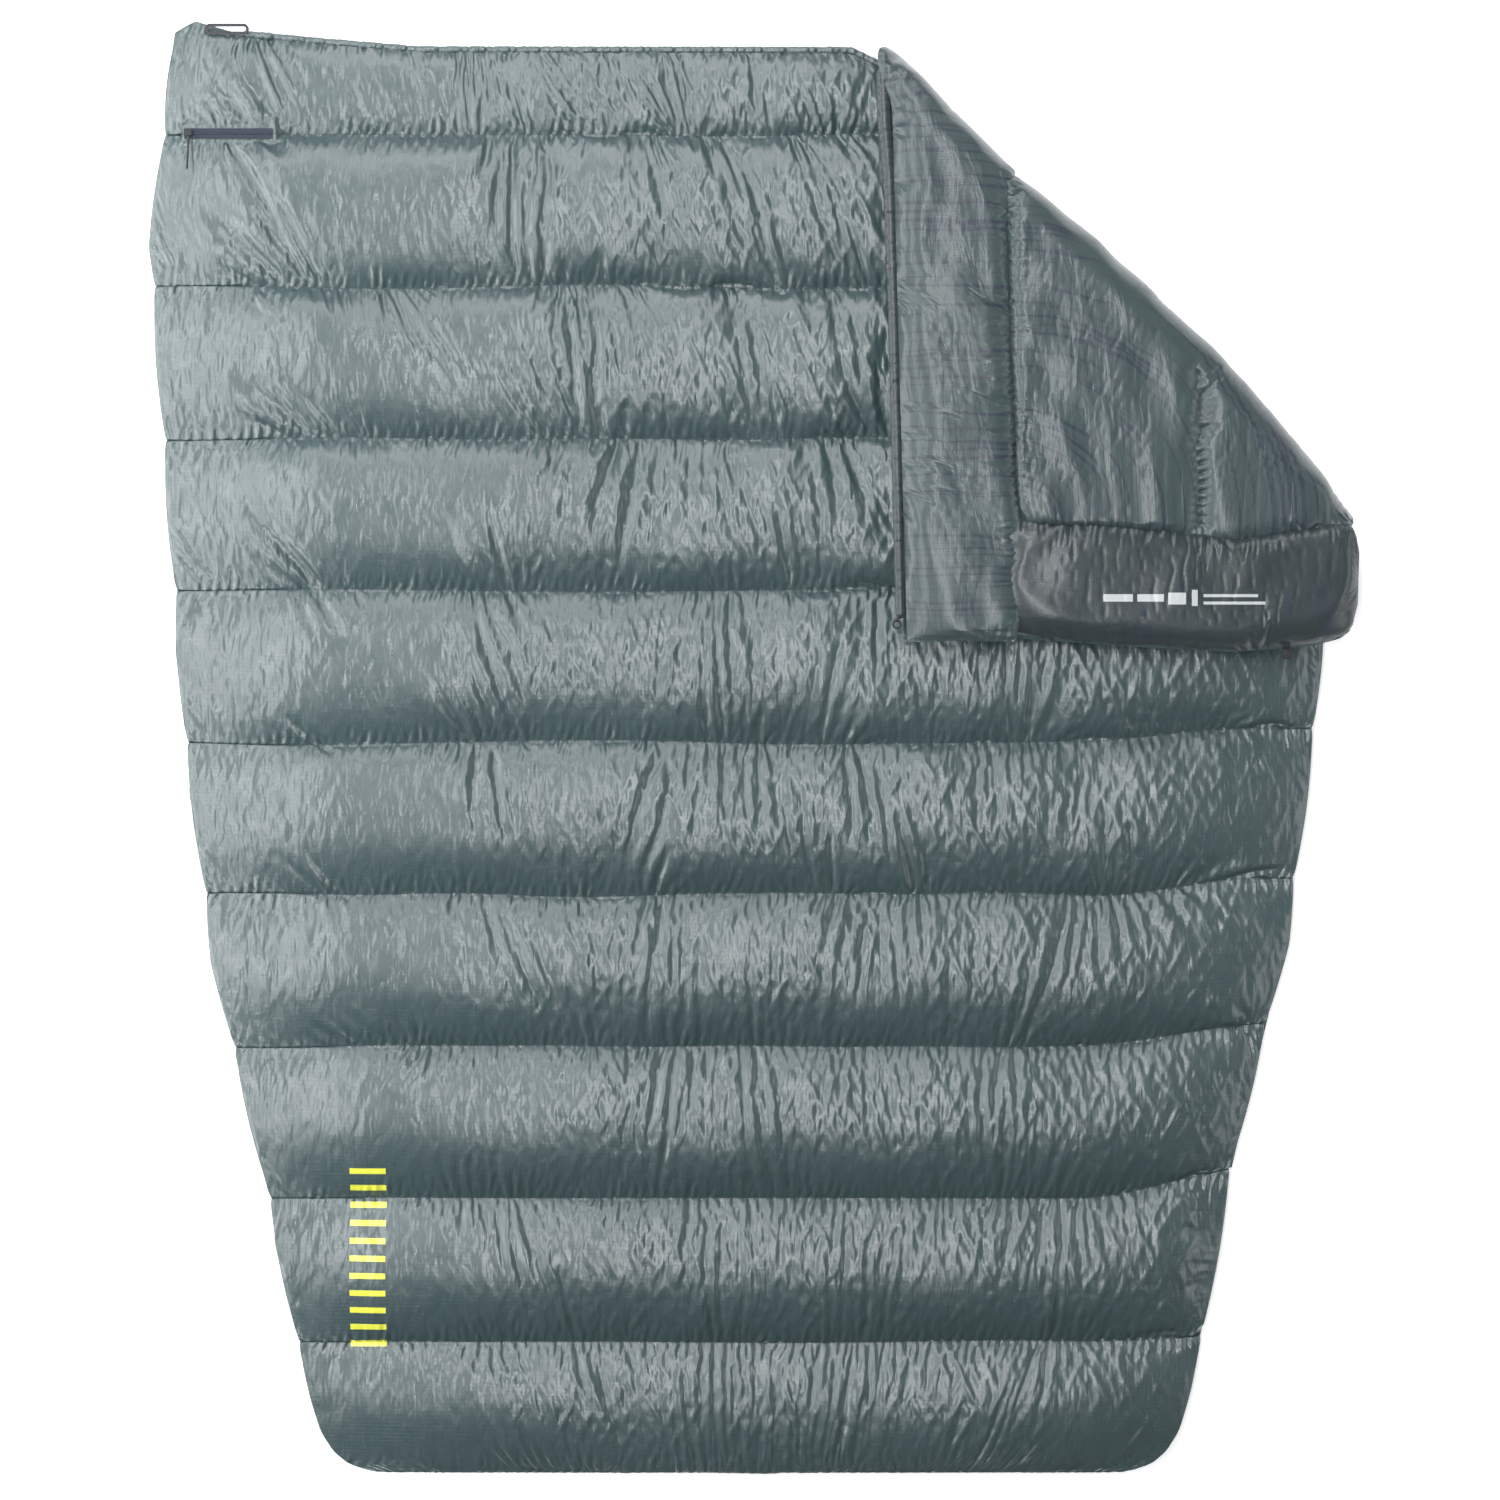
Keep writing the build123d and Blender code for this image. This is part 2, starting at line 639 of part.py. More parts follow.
corner_seams = [seam for seam in SEAMS if seam > FOLD_SUM - CORNER_SIDE_X]
corner_edges = [SEAMS[len(corner_seams)]] + corner_seams[::-1] + [CORNER_HEAD_Y]
save(folded(quilted_shell(corner_outline(), corner_edges)), "corner_shell")
save(folded(liner_sheet(corner_outline())), "corner_liner")
corner_spans = list(zip(corner_edges, corner_edges[1:]))
for number, (low, high) in enumerate(reversed(corner_spans)):
    save(folded(down_fill(corner_outline(), low, high)), f"corner_fill_{number}")
for number, seam in enumerate(corner_seams, 1):
    save(folded(baffle_wall(corner_outline(), seam)), f"corner_baffle_{number}")

corner_tubes = (
    (corner_side_tube_outline(), SPREAD_TUBE_Z, "corner_side_tube"),
    (corner_head_tube_outline(), LINER_Z, "corner_head_tube"),
    (corner_tube_end_outline(), SPREAD_TUBE_Z, "corner_tube_end"),
)
for outline, height, name in corner_tubes:
    save(folded(tube_casing(outline, FLOOR_CLEARANCE, height)), name)
    save(folded(tube_fill(outline, FLOOR_CLEARANCE, height)), f"{name}_fill")

save(folded(hem_channel(corner_hem_path())), "corner_hem")
save(folded(elastic_cord(corner_hem_path())), "corner_elastic")
save(folded(cord_eyelet()), "cord_eyelet")
save(folded(cord_loop()), "cord_loop")
save(folded(snap_tab()), "snap_tab")
save(folded(snap_cap()), "snap_cap")
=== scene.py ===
"""Looks for the two-person camp quilt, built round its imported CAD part.

The quilt lies flat with its foot towards -Y, and its right head corner is folded over onto it.
Each chamber's cloth is cut larger than its place, like the real one, and a small cloth solver
lets it settle between its seams, which is where the creases come from. Lengths are in metres.
"""

import bpy
import json
import math
import numpy as np
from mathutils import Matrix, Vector


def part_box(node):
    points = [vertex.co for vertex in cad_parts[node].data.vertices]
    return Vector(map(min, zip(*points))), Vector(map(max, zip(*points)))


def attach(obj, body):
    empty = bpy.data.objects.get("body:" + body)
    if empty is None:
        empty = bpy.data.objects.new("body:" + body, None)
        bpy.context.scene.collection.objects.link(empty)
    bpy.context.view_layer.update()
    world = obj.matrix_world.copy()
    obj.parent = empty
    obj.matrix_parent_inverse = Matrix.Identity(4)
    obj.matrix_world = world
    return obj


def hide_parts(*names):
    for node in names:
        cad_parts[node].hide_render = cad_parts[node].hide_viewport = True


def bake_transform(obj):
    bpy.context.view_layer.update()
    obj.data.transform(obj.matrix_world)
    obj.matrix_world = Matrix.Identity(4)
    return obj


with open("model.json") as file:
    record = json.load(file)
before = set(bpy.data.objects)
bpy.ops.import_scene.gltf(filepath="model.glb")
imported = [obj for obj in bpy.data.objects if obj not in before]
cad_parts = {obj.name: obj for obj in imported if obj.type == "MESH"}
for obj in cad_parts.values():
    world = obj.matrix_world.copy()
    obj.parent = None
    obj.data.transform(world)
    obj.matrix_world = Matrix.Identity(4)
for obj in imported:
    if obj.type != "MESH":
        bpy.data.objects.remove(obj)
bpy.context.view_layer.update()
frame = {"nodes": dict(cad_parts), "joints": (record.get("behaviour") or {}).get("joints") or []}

# ---- the quilt's plan, as in the CAD part ----

FOLD = next(joint for joint in frame["joints"] if joint["name"] == "corner_fold")
HINGE_X, HINGE_Y, HINGE_Z = FOLD["pos_m"]
FOLD_SUM = HINGE_X + HINGE_Y
SIDE_Y = (-1.005, -0.998, -0.98, -0.95, -0.90, -0.826, -0.59, -0.3, 0.015, 0.69, 0.96)
SIDE_X = (0.515, 0.545, 0.571, 0.589, 0.604, 0.624, 0.671, 0.741, 0.78, 0.828, 0.796)
FOOT_Y = -1.005
HEAD_X = (-0.80, -0.768, -0.69, -0.626, -0.459, 0.139, 0.181, 0.202)
HEAD_Y = (0.985, 1.003, 0.981, 0.976, 0.962, 0.961, 0.941, 0.921)
SEAM_Z = 0.034
EDGE_Z = 0.02
HEAD_Z = 0.03
CROWN_Z = 0.0622
FREE_CROWN_Z = 0.070
HEAD_TUBE_Y = 0.764

# How far each seam rises towards the right edge, from the foot's seam to the header's.
RIGHT_RISE = (0.014, 0.044, 0.030, 0.022, 0.020, 0.0, 0.006, 0.006, 0.0)
RISE_START_X = 0.45
RISE_SPAN = 0.27

# How high a chamber stands over its seams before it settles.
START_RISE = 0.025

# How far the fold's edge stands out from the crease, along its way from the head to the side.
ROLL_X = (0.17, 0.26, 0.36, 0.45, 0.60, 0.69, 0.745, 0.80)
ROLL_OUT = (-0.004, -0.014, -0.002, 0.010, 0.019, 0.014, 0.004, -0.008)

# The folded corner's hem, along its way from the foot side to the crease.
HEM_X = (0.206, 0.202, 0.196, 0.190, 0.184, 0.181)
HEM_Y = (0.174, 0.35, 0.60, 0.78, 0.85, 0.927)
HEM_Z = 0.0940

# The folded side tube's upper and lower edges, along its way from the strip to its free end.
TUBE_X = (0.36, 0.53, 0.66, 0.77, 0.82)
TUBE_TOP = (0.314, 0.303, 0.284, 0.301, 0.307)
TUBE_LOW = (0.147, 0.135, 0.128, 0.137, 0.150)
TUBE_START_X = 0.345
TUBE_END_X = 0.830
TUBE_MIDDLE_Z = 0.0995

# The folded head tube: the gathered seam between it and the corner's lining, its free end, and
# the part of the crease that it goes over.
STRIP_SEAM_Y = (0.14, 0.23, 0.35, 0.52, 0.77)
STRIP_SEAM_X = (0.362, 0.379, 0.366, 0.356, 0.349)
STRIP_END_Y = 0.142
STRIP_CREASE_X = (0.174, 0.352)

# The snap's tape, from inside the side tube to the snap's tab.
SNAP_TAPE_X = 0.732
SNAP_TAPE_Y = (0.170, 0.150, 0.1315)
SNAP_TAPE_Z = 0.0985
SNAP_TAPE_HALF = 0.0062

# How much wider than its place the top cloth is cut, added up from the left edge to the right.
# Left of CALM_X the cloth lies smoother, and CALM_SPAN further on it has all its creases.
LOOSE_X = (-0.83, -0.45, -0.25, 0.83)
LOOSE = (0.0, 0.0030, 0.0070, 0.0320)
CALM_X = -0.48
CALM_SPAN = 0.25

# The cloth: the solver's first grid, how much its width is drawn in there, and the pitch of its
# creases. Then the puckers beside a seam, and the crossing creases between the seams.
COARSE = 0.0105
SLACK = 0.028
CREASE_PITCH = 0.029
PUCKER_PITCH = 0.012
PUCKER_REACH = 0.032
PUCKER_RISE = 0.0019
FACET_PITCH = 0.023
FACET_LENGTH = 0.085
FACET_RISE = 0.0011
RANDOM = 7

# Stitches: the pitch along a seam, the thread's half thickness, and how high it stands.
STITCH_PITCH = 0.0052
THREAD_HALF = 0.00045
THREAD_RISE = 0.0006


def seam_lines():
    """The y of each seam, from the foot to the head, from the CAD part's baffle walls."""
    middles = []
    for number in range(9, 0, -1):
        low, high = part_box(f"baffle_wall_{number}")
        middles.append((low.y + high.y) / 2)
    return middles


SEAMS = seam_lines()
CHAMBER_EDGES = [FOOT_Y] + SEAMS + [max(HEAD_Y[3:])]


# ---- small tools ----


def smooth(value):
    """0 to 1 with soft ends."""
    share = np.clip(value, 0, 1)
    return share * share * (3 - 2 * share)


def waves(place, seed, length, count=9):
    """An uneven wave along a line, about as long as length, with a size near 1."""
    random = np.random.default_rng(seed)
    total = 0
    for _ in range(count):
        pitch = length * random.uniform(0.5, 1.9)
        wave = np.sin(2 * math.pi * (place / pitch + random.uniform()))
        total = total + wave * random.uniform(0.5, 1)
    return total / math.sqrt(count)


def crumple(u, v, seed, wide, long, count=28):
    """An uneven field of creases about wide across and long down, leaning both ways, of size near 1."""
    random = np.random.default_rng(seed)
    total = 0
    for _ in range(count):
        across = 2 * math.pi / (wide * random.uniform(0.6, 1.7))
        down = 2 * math.pi / long * random.normal(0, 0.8)
        wave = np.sin(across * u + down * v + random.uniform(0, 2 * math.pi))
        total = total + wave * random.uniform(0.5, 1)
    return total / math.sqrt(count)


def thread_sets(flat, bend):
    """The threads of a grid of cloth, in sets that share no point, each with its length."""
    rows, cols = flat.shape[:2]
    kinds = ((0, 1, 1), (1, 0, 1), (1, 1, 0.5), (1, -1, 0.5), (0, 2, bend), (2, 0, bend))
    sets = []
    for down, across, strength in kinds:
        step = 2 * max(down, across)
        for start in range(step):
            if down:
                first = (slice(start, rows - down, step), slice(max(0, -across), cols - max(0, across)))
                second = (slice(start + down, rows, step), slice(max(0, across), cols + min(0, across)))
            else:
                first = (slice(None), slice(start, cols - across, step))
                second = (slice(None), slice(start + across, cols, step))
            length = np.linalg.norm(flat[second] - flat[first], axis=-1)
            sets.append((first, second, length, strength))
    return sets


def pull(points, free, first, second, length, strength):
    """Draws the two ends of each thread together, or apart, until it has its own length."""
    gap = points[second] - points[first]
    now = np.sqrt(np.einsum("ijk,ijk->ij", gap, gap)) + 1e-9
    share = free[first] + free[second] + 1e-9
    move = strength * (now - length) / (now * share)
    points[first] += (move * free[first])[..., None] * gap
    points[second] -= (move * free[second])[..., None] * gap


def faces_of(points):
    """The direction that each point of a grid of cloth faces."""
    facing = np.cross(np.gradient(points, axis=1), np.gradient(points, axis=0))
    return facing / (np.linalg.norm(facing, axis=2, keepdims=True) + 1e-12)


def settle(points, free, flat, low, high, steps, push, bend=0.05):
    """Lets a grid of cloth settle: flat is its cut, free is 0 where it is sewn down."""
    sets = thread_sets(flat, bend)
    last = points.copy()
    for _ in range(steps):
        speed = (points - last) * 0.9
        last = points.copy()
        points = points + (speed + faces_of(points) * push) * free[..., None]
        for threads in sets:
            pull(points, free, *threads)
        height = np.clip(points[..., 2], low, high)
        points[..., 2] = np.where(free > 0, height, points[..., 2])
    return points


def finer(grid):
    """The same grid with twice the rows and columns, smooth between its points."""
    for _ in range(2):
        ends = np.concatenate([2 * grid[:1] - grid[1:2], grid, 2 * grid[-1:] - grid[-2:-1]])
        out = np.zeros((2 * len(grid) - 1,) + grid.shape[1:])
        out[::2] = grid
        out[1::2] = (-ends[:-3] + 9 * ends[1:-2] + 9 * ends[2:-1] - ends[3:]) / 16
        grid = np.swapaxes(out, 0, 1)
    return grid


def finer_flags(free):
    """Twice the rows and columns of a grid of flags; a new point is sewn if both its neighbours are."""
    sewn = 1.0 - free
    for _ in range(2):
        out = np.zeros((2 * len(sewn) - 1, sewn.shape[1]))
        out[::2] = sewn
        out[1::2] = sewn[:-1] * sewn[1:]
        sewn = out.T
    return 1.0 - sewn


def finer_heights(heights):
    """Twice the rows and columns of a grid of heights; a single height stays as it is."""
    return finer(heights[..., None])[..., 0] if np.ndim(heights) else heights


def settle_in_steps(
    points, free, flat, low, high, steps, push, bend=0.05, seed=0, crease=0.0015, slack=SLACK
):
    """Settles a coarse grid, then finer ones for the small creases."""
    points = settle(points, free, flat * (1 - slack, 1, 1), low, high, steps[0], push, bend)
    for level, count in enumerate(steps[1:], 1):
        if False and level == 2:
            break
        points = finer(points)
        flat = finer(flat)
        free = finer_flags(free)
        low = finer_heights(low)
        high = finer_heights(high)
        crease = finer_heights(crease)
        wide = CREASE_PITCH / level
        creases = crumple(flat[..., 0], flat[..., 1], seed + level, wide, 2.2 * wide)
        puckers = abs(crumple(flat[..., 0], flat[..., 1], seed + level + 9, 0.011, 0.5))
        points[..., 2] += crease / level * free * creases - 0.0007 * (1 - free) * puckers
        points = settle(points, free, flat, low, high, count, push / 4**level, bend / 2**level)
    return points, flat


def pucker(points, along, across, gap, seed):
    """Raises the short puckers beside a seam that is gap away; some are longer than others."""
    reach = PUCKER_REACH * (0.6 + abs(waves(along, seed, 0.035)))
    near = np.clip(1 - gap / reach, 0, 1) * smooth(gap / 0.004)
    points[..., 2] += PUCKER_RISE * near * crumple(along, across, seed + 1, PUCKER_PITCH, 0.045)
    return points


def sheet_mesh(name, points, flat, material, body=None, turned=False):
    """A mesh from a grid of points, with its cut as its texture coordinates."""
    rows, cols = points.shape[:2]
    index = np.arange(rows * cols).reshape(rows, cols)
    corners = (index[:-1, :-1], index[:-1, 1:], index[1:, 1:], index[1:, :-1])
    if turned:
        corners = corners[::-1]
    faces = np.stack([corner.ravel() for corner in corners], 1)
    mesh = bpy.data.meshes.new(name)
    mesh.from_pydata(points.reshape(-1, 3).tolist(), [], faces.tolist())
    mesh.polygons.foreach_set("use_smooth", [True] * len(faces))
    cut = mesh.uv_layers.new(name="cut")
    cut.data.foreach_set("uv", flat.reshape(-1, flat.shape[-1])[faces.ravel(), :2].ravel())
    mesh.materials.append(material)
    piece = bpy.data.objects.new(name, mesh)
    bpy.context.scene.collection.objects.link(piece)
    if body:
        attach(piece, body)
    return piece


def tube_mesh(name, path, radii, material, body, flatten=1.0, sides=14):
    """A closed tube along a path, with a radius at each point of it."""
    path = np.asarray(path, float)
    along = np.gradient(path, axis=0)
    along /= np.linalg.norm(along, axis=1, keepdims=True)
    across = np.cross(along, (0, 0, 1.0))
    across /= np.linalg.norm(across, axis=1, keepdims=True) + 1e-12
    up = np.cross(across, along)
    angle = np.linspace(0, 2 * math.pi, sides + 1)
    sideways = np.cos(angle)[None, :, None] * across[:, None]
    upwards = flatten * np.sin(angle)[None, :, None] * up[:, None]
    points = path[:, None] + np.asarray(radii)[:, None, None] * (sideways + upwards)
    points = np.concatenate([path[:1, None] + 0 * points[:1], points, path[-1:, None] + 0 * points[:1]])
    distance = np.concatenate([[0], np.cumsum(np.linalg.norm(np.diff(path, axis=0), axis=1))])
    distance = np.concatenate([distance[:1], distance, distance[-1:]])
    around = np.repeat(angle[None] * np.mean(radii), len(distance), 0)
    flat = np.stack([np.repeat(distance[:, None], sides + 1, 1), around], -1)
    return sheet_mesh(name, points, flat, material, body)


# ---- materials ----

# Colours are linear. A shell or lining colour varies in patches between its dark and light one.
SHELL_DARK = (0.028, 0.055, 0.060, 1)
SHELL_LIGHT = (0.040, 0.074, 0.079, 1)
LINER_DARK = (0.034, 0.055, 0.058)
LINER_LIGHT = (0.052, 0.082, 0.086)
SLUB = (0.022, 0.030, 0.050, 1)
YELLOW_INK = (0.75, 0.78, 0.06, 1)
WHITE_INK = (0.50, 0.53, 0.54, 1)

# The yellow ladder near the foot: its two sides, its lowest and highest bar, and their pitch.
LADDER_X = (-0.552, -0.502)
LADDER_Y = (-0.822, -0.58)
LADDER_PITCH = 0.024
LADDER_BAR = 0.008

# Small creases in the materials: the noise is drawn out, and leans one way and the other.
CREASE_STRETCH = (1.0, 0.34, 1.0)
CREASE_LEAN = 0.38
FACET_BUMP = 1.7
WEAVE_RISE = 0.00008


class Shader:
    """A material's node tree, with short ways to add nodes to it."""

    def __init__(self, name):
        self.material = bpy.data.materials.new(name)
        self.material.use_nodes = True
        self.tree = self.material.node_tree
        self.tree.nodes.clear()
        self.surface = self.node("ShaderNodeBsdfPrincipled")
        output = self.node("ShaderNodeOutputMaterial")
        self.tree.links.new(self.surface.outputs[0], output.inputs[0])

    def node(self, kind, **settings):
        """Adds a node and sets its properties."""
        made = self.tree.nodes.new(kind)
        for key, value in settings.items():
            setattr(made, key, value)
        return made

    def link(self, value, socket):
        """Links a socket, or sets a plain value."""
        if isinstance(value, bpy.types.NodeSocket):
            self.tree.links.new(value, socket)
        else:
            socket.default_value = value

    def math(self, operation, first, second=0.0):
        """A maths node's result."""
        made = self.node("ShaderNodeMath", operation=operation)
        self.link(first, made.inputs[0])
        self.link(second, made.inputs[1])
        return made.outputs[0]

    def cut(self):
        """The piece's flat cloth coordinates, in metres."""
        return self.node("ShaderNodeUVMap", uv_map="cut").outputs[0]

    def place(self):
        """The point in the piece's own space, in metres."""
        return self.node("ShaderNodeTexCoord").outputs["Object"]

    def stretched(self, vector, scale, turn=0.0):
        """A vector scaled along each axis, and turned about Z."""
        made = self.node("ShaderNodeMapping")
        self.link(vector, made.inputs["Vector"])
        made.inputs["Rotation"].default_value = (0, 0, turn)
        made.inputs["Scale"].default_value = scale
        return made.outputs[0]

    def noise(self, vector, scale, detail=3.0, distortion=0.0):
        """A noise texture's value."""
        made = self.node("ShaderNodeTexNoise", noise_type="FBM", normalize=True)
        self.link(vector, made.inputs["Vector"])
        made.inputs["Scale"].default_value = scale
        made.inputs["Detail"].default_value = detail
        made.inputs["Distortion"].default_value = distortion
        return made.outputs[0]

    def mix(self, share, first, second):
        """A mix of two colours."""
        made = self.node("ShaderNodeMix", data_type="RGBA")
        self.link(share, made.inputs["Factor"])
        self.link(first, made.inputs[6])
        self.link(second, made.inputs[7])
        return made.outputs[2]

    def range(self, value, low, high, new_low=0.0, new_high=1.0):
        """A value moved from one range to another, and held inside it."""
        made = self.node("ShaderNodeMapRange")
        self.link(value, made.inputs["Value"])
        for socket, amount in zip(made.inputs[1:5], (low, high, new_low, new_high)):
            socket.default_value = amount
        return made.outputs[0]

    def bump(self, height, distance, below=None):
        """A bump of a given depth in metres, over another one if there is one."""
        made = self.node("ShaderNodeBump")
        made.inputs["Strength"].default_value = 1.0
        made.inputs["Distance"].default_value = distance
        self.link(height, made.inputs["Height"])
        if below is not None:
            self.link(below, made.inputs["Normal"])
        return made.outputs[0]

    def set(self, **values):
        """Sets or links the surface shader's own sockets; underscores stand for spaces."""
        for key, value in values.items():
            self.link(value, self.surface.inputs[key.replace("_", " ")])
        return self.material


def inside(shader, place, x_low, x_high, y_low, y_high):
    """1 inside a rectangle of the piece's own space, and 0 outside it."""
    parts = shader.node("ShaderNodeSeparateXYZ")
    shader.link(place, parts.inputs[0])
    found = shader.math("GREATER_THAN", parts.outputs[0], x_low)
    found = shader.math("MULTIPLY", found, shader.math("LESS_THAN", parts.outputs[0], x_high))
    found = shader.math("MULTIPLY", found, shader.math("GREATER_THAN", parts.outputs[1], y_low))
    return shader.math("MULTIPLY", found, shader.math("LESS_THAN", parts.outputs[1], y_high))


def printed(shader, colour, ink, rectangles):
    """The cloth's colour with plain printed bars on it."""
    place = shader.place()
    for rectangle in rectangles:
        colour = shader.mix(inside(shader, place, *rectangle), colour, ink)
    return colour


def crinkle(shader, depth, weave):
    """The small creases of a light cloth, over its ripstop weave."""
    cut = shader.cut()
    one_way = shader.noise(shader.stretched(cut, CREASE_STRETCH, CREASE_LEAN), 60.0, 2.0, 0.3)
    other_way = shader.noise(shader.stretched(cut, CREASE_STRETCH, -CREASE_LEAN), 50.0, 2.0, 0.3)
    coarse = shader.noise(cut, 16.0, 3.0, 0.6)
    lower = shader.bump(coarse, depth)
    middle = shader.bump(shader.math("MAXIMUM", one_way, other_way), FACET_BUMP * depth, lower)
    grid = shader.node("ShaderNodeTexBrick", offset=0.0)
    shader.link(cut, grid.inputs["Vector"])
    grid.inputs["Scale"].default_value = 1 / weave
    grid.inputs["Mortar Size"].default_value = 0.08
    grid.inputs["Brick Width"].default_value = 1.0
    grid.inputs["Row Height"].default_value = 1.0
    return shader.bump(grid.outputs["Fac"], WEAVE_RISE, middle)


def shell_fabric():
    """Light, glossy grey-green ripstop nylon, with a plain yellow mark near the foot."""
    shader = Shader("shell_fabric")
    tone = shader.noise(shader.cut(), 5.0, 2.0)
    colour = shader.mix(tone, SHELL_DARK, SHELL_LIGHT)
    bars = [(*LADDER_X, y - LADDER_BAR, y) for y in np.arange(*LADDER_Y, LADDER_PITCH)]
    colour = printed(shader, colour, YELLOW_INK, bars)
    rough = shader.range(shader.noise(shader.cut(), 30.0), 0.3, 0.7, 0.30, 0.37)
    return shader.set(
        Base_Color=colour,
        Roughness=rough,
        Normal=crinkle(shader, 0.0015, 0.0055),
        Sheen_Weight=0.15,
        Sheen_Roughness=0.4,
        IOR=1.6,
        Specular_IOR_Level=0.9,
    )


def liner_fabric(name="liner_fabric", turned=0.0, bars=(), tone=1.0):
    """Darker slate lining with fine slubs across it, darker still with a tone below 1."""
    shader = Shader(name)
    patches = shader.noise(shader.cut(), 6.0, 2.0)
    dark = [tone * part for part in LINER_DARK] + [1]
    light = [tone * part for part in LINER_LIGHT] + [1]
    colour = shader.mix(patches, dark, light)
    streak = shader.stretched(shader.cut(), (3.0, 170.0, 1.0), turned)
    slub = shader.range(shader.noise(streak, 1.0, 1.0), 0.54, 0.64)
    colour = shader.mix(shader.math("MULTIPLY", slub, 0.8), colour, SLUB)
    colour = printed(shader, colour, WHITE_INK, bars)
    return shader.set(
        Base_Color=colour,
        Roughness=0.31,
        Normal=crinkle(shader, 0.0006, 0.0035),
        Sheen_Weight=0.15,
        Sheen_Roughness=0.4,
        Specular_IOR_Level=0.7,
    )


def woven(name, colour, pitch, rough=0.6, depth=0.00025):
    """A woven tape or cord, with its weave as bands both ways."""
    shader = Shader(name)
    across = shader.node("ShaderNodeTexWave", bands_direction="X")
    down = shader.node("ShaderNodeTexWave", bands_direction="Y")
    for wave in (across, down):
        shader.link(shader.place(), wave.inputs["Vector"])
        wave.inputs["Scale"].default_value = 0.32 / pitch
    height = shader.math("MULTIPLY", across.outputs["Fac"], down.outputs["Fac"])
    tone = shader.mix(height, tuple(0.6 * part for part in colour[:3]) + (1,), colour)
    return shader.set(Base_Color=tone, Roughness=rough, Normal=shader.bump(height, depth), Sheen_Weight=0.3)


def plain(name, colour, rough, metal=0.0):
    """A moulded plastic or metal, with a fine uneven surface."""
    shader = Shader(name)
    grain = shader.noise(shader.place(), 900.0, 2.0)
    roughness = shader.range(grain, 0.3, 0.7, rough - 0.05, rough + 0.05)
    return shader.set(
        Base_Color=colour,
        Metallic=metal,
        Roughness=roughness,
        Normal=shader.bump(grain, 0.00003),
    )


SHELL = shell_fabric()
LINER = liner_fabric()
# Plain bars on the side tube, each from its low to its high x and y.
TUBE_BARS = [
    (0.480, 0.520, 0.196, 0.206),
    (0.526, 0.562, 0.196, 0.206),
    (0.568, 0.592, 0.192, 0.208),
    (0.600, 0.608, 0.190, 0.212),
    (0.616, 0.700, 0.192, 0.196),
    (0.616, 0.690, 0.202, 0.206),
]
TUBE_LINER = liner_fabric("tube_liner_fabric", math.pi / 2, TUBE_BARS, 0.56)
HEM = liner_fabric("hem_fabric", 0.0, (), 0.6)
ZIP_TAPE = woven("zip_tape", (0.016, 0.026, 0.060, 1), 0.0009)
ZIP_COIL = plain("zip_coil_plastic", (0.012, 0.018, 0.040, 1), 0.35)
ZIP_METAL = plain("zip_metal", (0.05, 0.05, 0.055, 1), 0.35, 0.8)
CORD = woven("cord_braid", (0.012, 0.012, 0.014, 1), 0.0012)
WEBBING = woven("webbing_weave", (0.030, 0.036, 0.048, 1), 0.0016, 0.55)
SNAP = plain("snap_plastic", (0.018, 0.019, 0.021, 1), 0.42)
EYELET = plain("eyelet_metal", (0.06, 0.06, 0.065, 1), 0.3, 0.9)
THREAD = plain("seam_thread", (0.06, 0.08, 0.09, 1), 0.55)


# ---- the quilt's top ----


def side_reach(y):
    """Half the quilt's width at y."""
    return np.interp(y, SIDE_Y, SIDE_X)


def head_line(x):
    """The head edge's y at x."""
    return np.interp(x, HEAD_X, HEAD_Y)


def rows_between(lines, spacing):
    """Rows that meet each of the lines: each row's chamber and its share of the way across it."""
    rows = []
    for chamber, (low, high) in enumerate(zip(lines, lines[1:])):
        count = 2 * round((high - low) / spacing / 2)
        rows += [(chamber, step / count) for step in range(count)]
    rows.append((len(lines) - 2, 1.0))
    return rows


def row_plan(spacing):
    """The quilt's rows, from the foot to the head."""
    return rows_between(CHAMBER_EDGES, spacing)


def line_y(number, x):
    """The y of one line across the quilt: the foot edge, a seam, or the head edge."""
    if number == 0:
        return FOOT_Y + 0 * x
    if number > len(SEAMS):
        return head_line(x)
    rise = RIGHT_RISE[number - 1] * smooth((x - RISE_START_X) / RISE_SPAN)
    return SEAMS[number - 1] + rise + 0.002 * waves(x, 40 + number, 0.5)


def base_plan(rows, cols):
    """Where each point of the quilt's top cloth lies in plan, out to its edges and the crease.

    A seam rises towards the right, so where its row meets the crease is found in a few rounds.
    """
    share = np.linspace(0, 1, cols)
    x = np.zeros((len(rows), cols))
    y = np.zeros((len(rows), cols))
    for row, (chamber, part) in enumerate(rows):
        low, high = CHAMBER_EDGES[chamber : chamber + 2]
        level = low + part * (high - low)
        bulge = 0.005 * math.sin(math.pi * part)
        left = -side_reach(level) - bulge
        right = side_reach(level) + bulge
        for _ in range(9):
            end_y = (1 - part) * line_y(chamber, right) + part * line_y(chamber + 1, right)
            right = min(side_reach(level) + bulge, FOLD_SUM - end_y - 0.002)
        x[row] = left + share * (right - left)
        y[row] = (1 - part) * line_y(chamber, x[row]) + part * line_y(chamber + 1, x[row])
    return x, y


def chamber_profile(rows, cols, shoulder):
    """0 at the seams and edges and 1 over the middle of each chamber."""
    part = np.array([part for _, part in rows])
    share = np.linspace(0, 1, cols)
    sides = np.sqrt(np.clip(np.minimum(share, 1 - share) * shoulder, 0, 1))
    return np.sin(math.pi * part)[:, None] * sides[None]


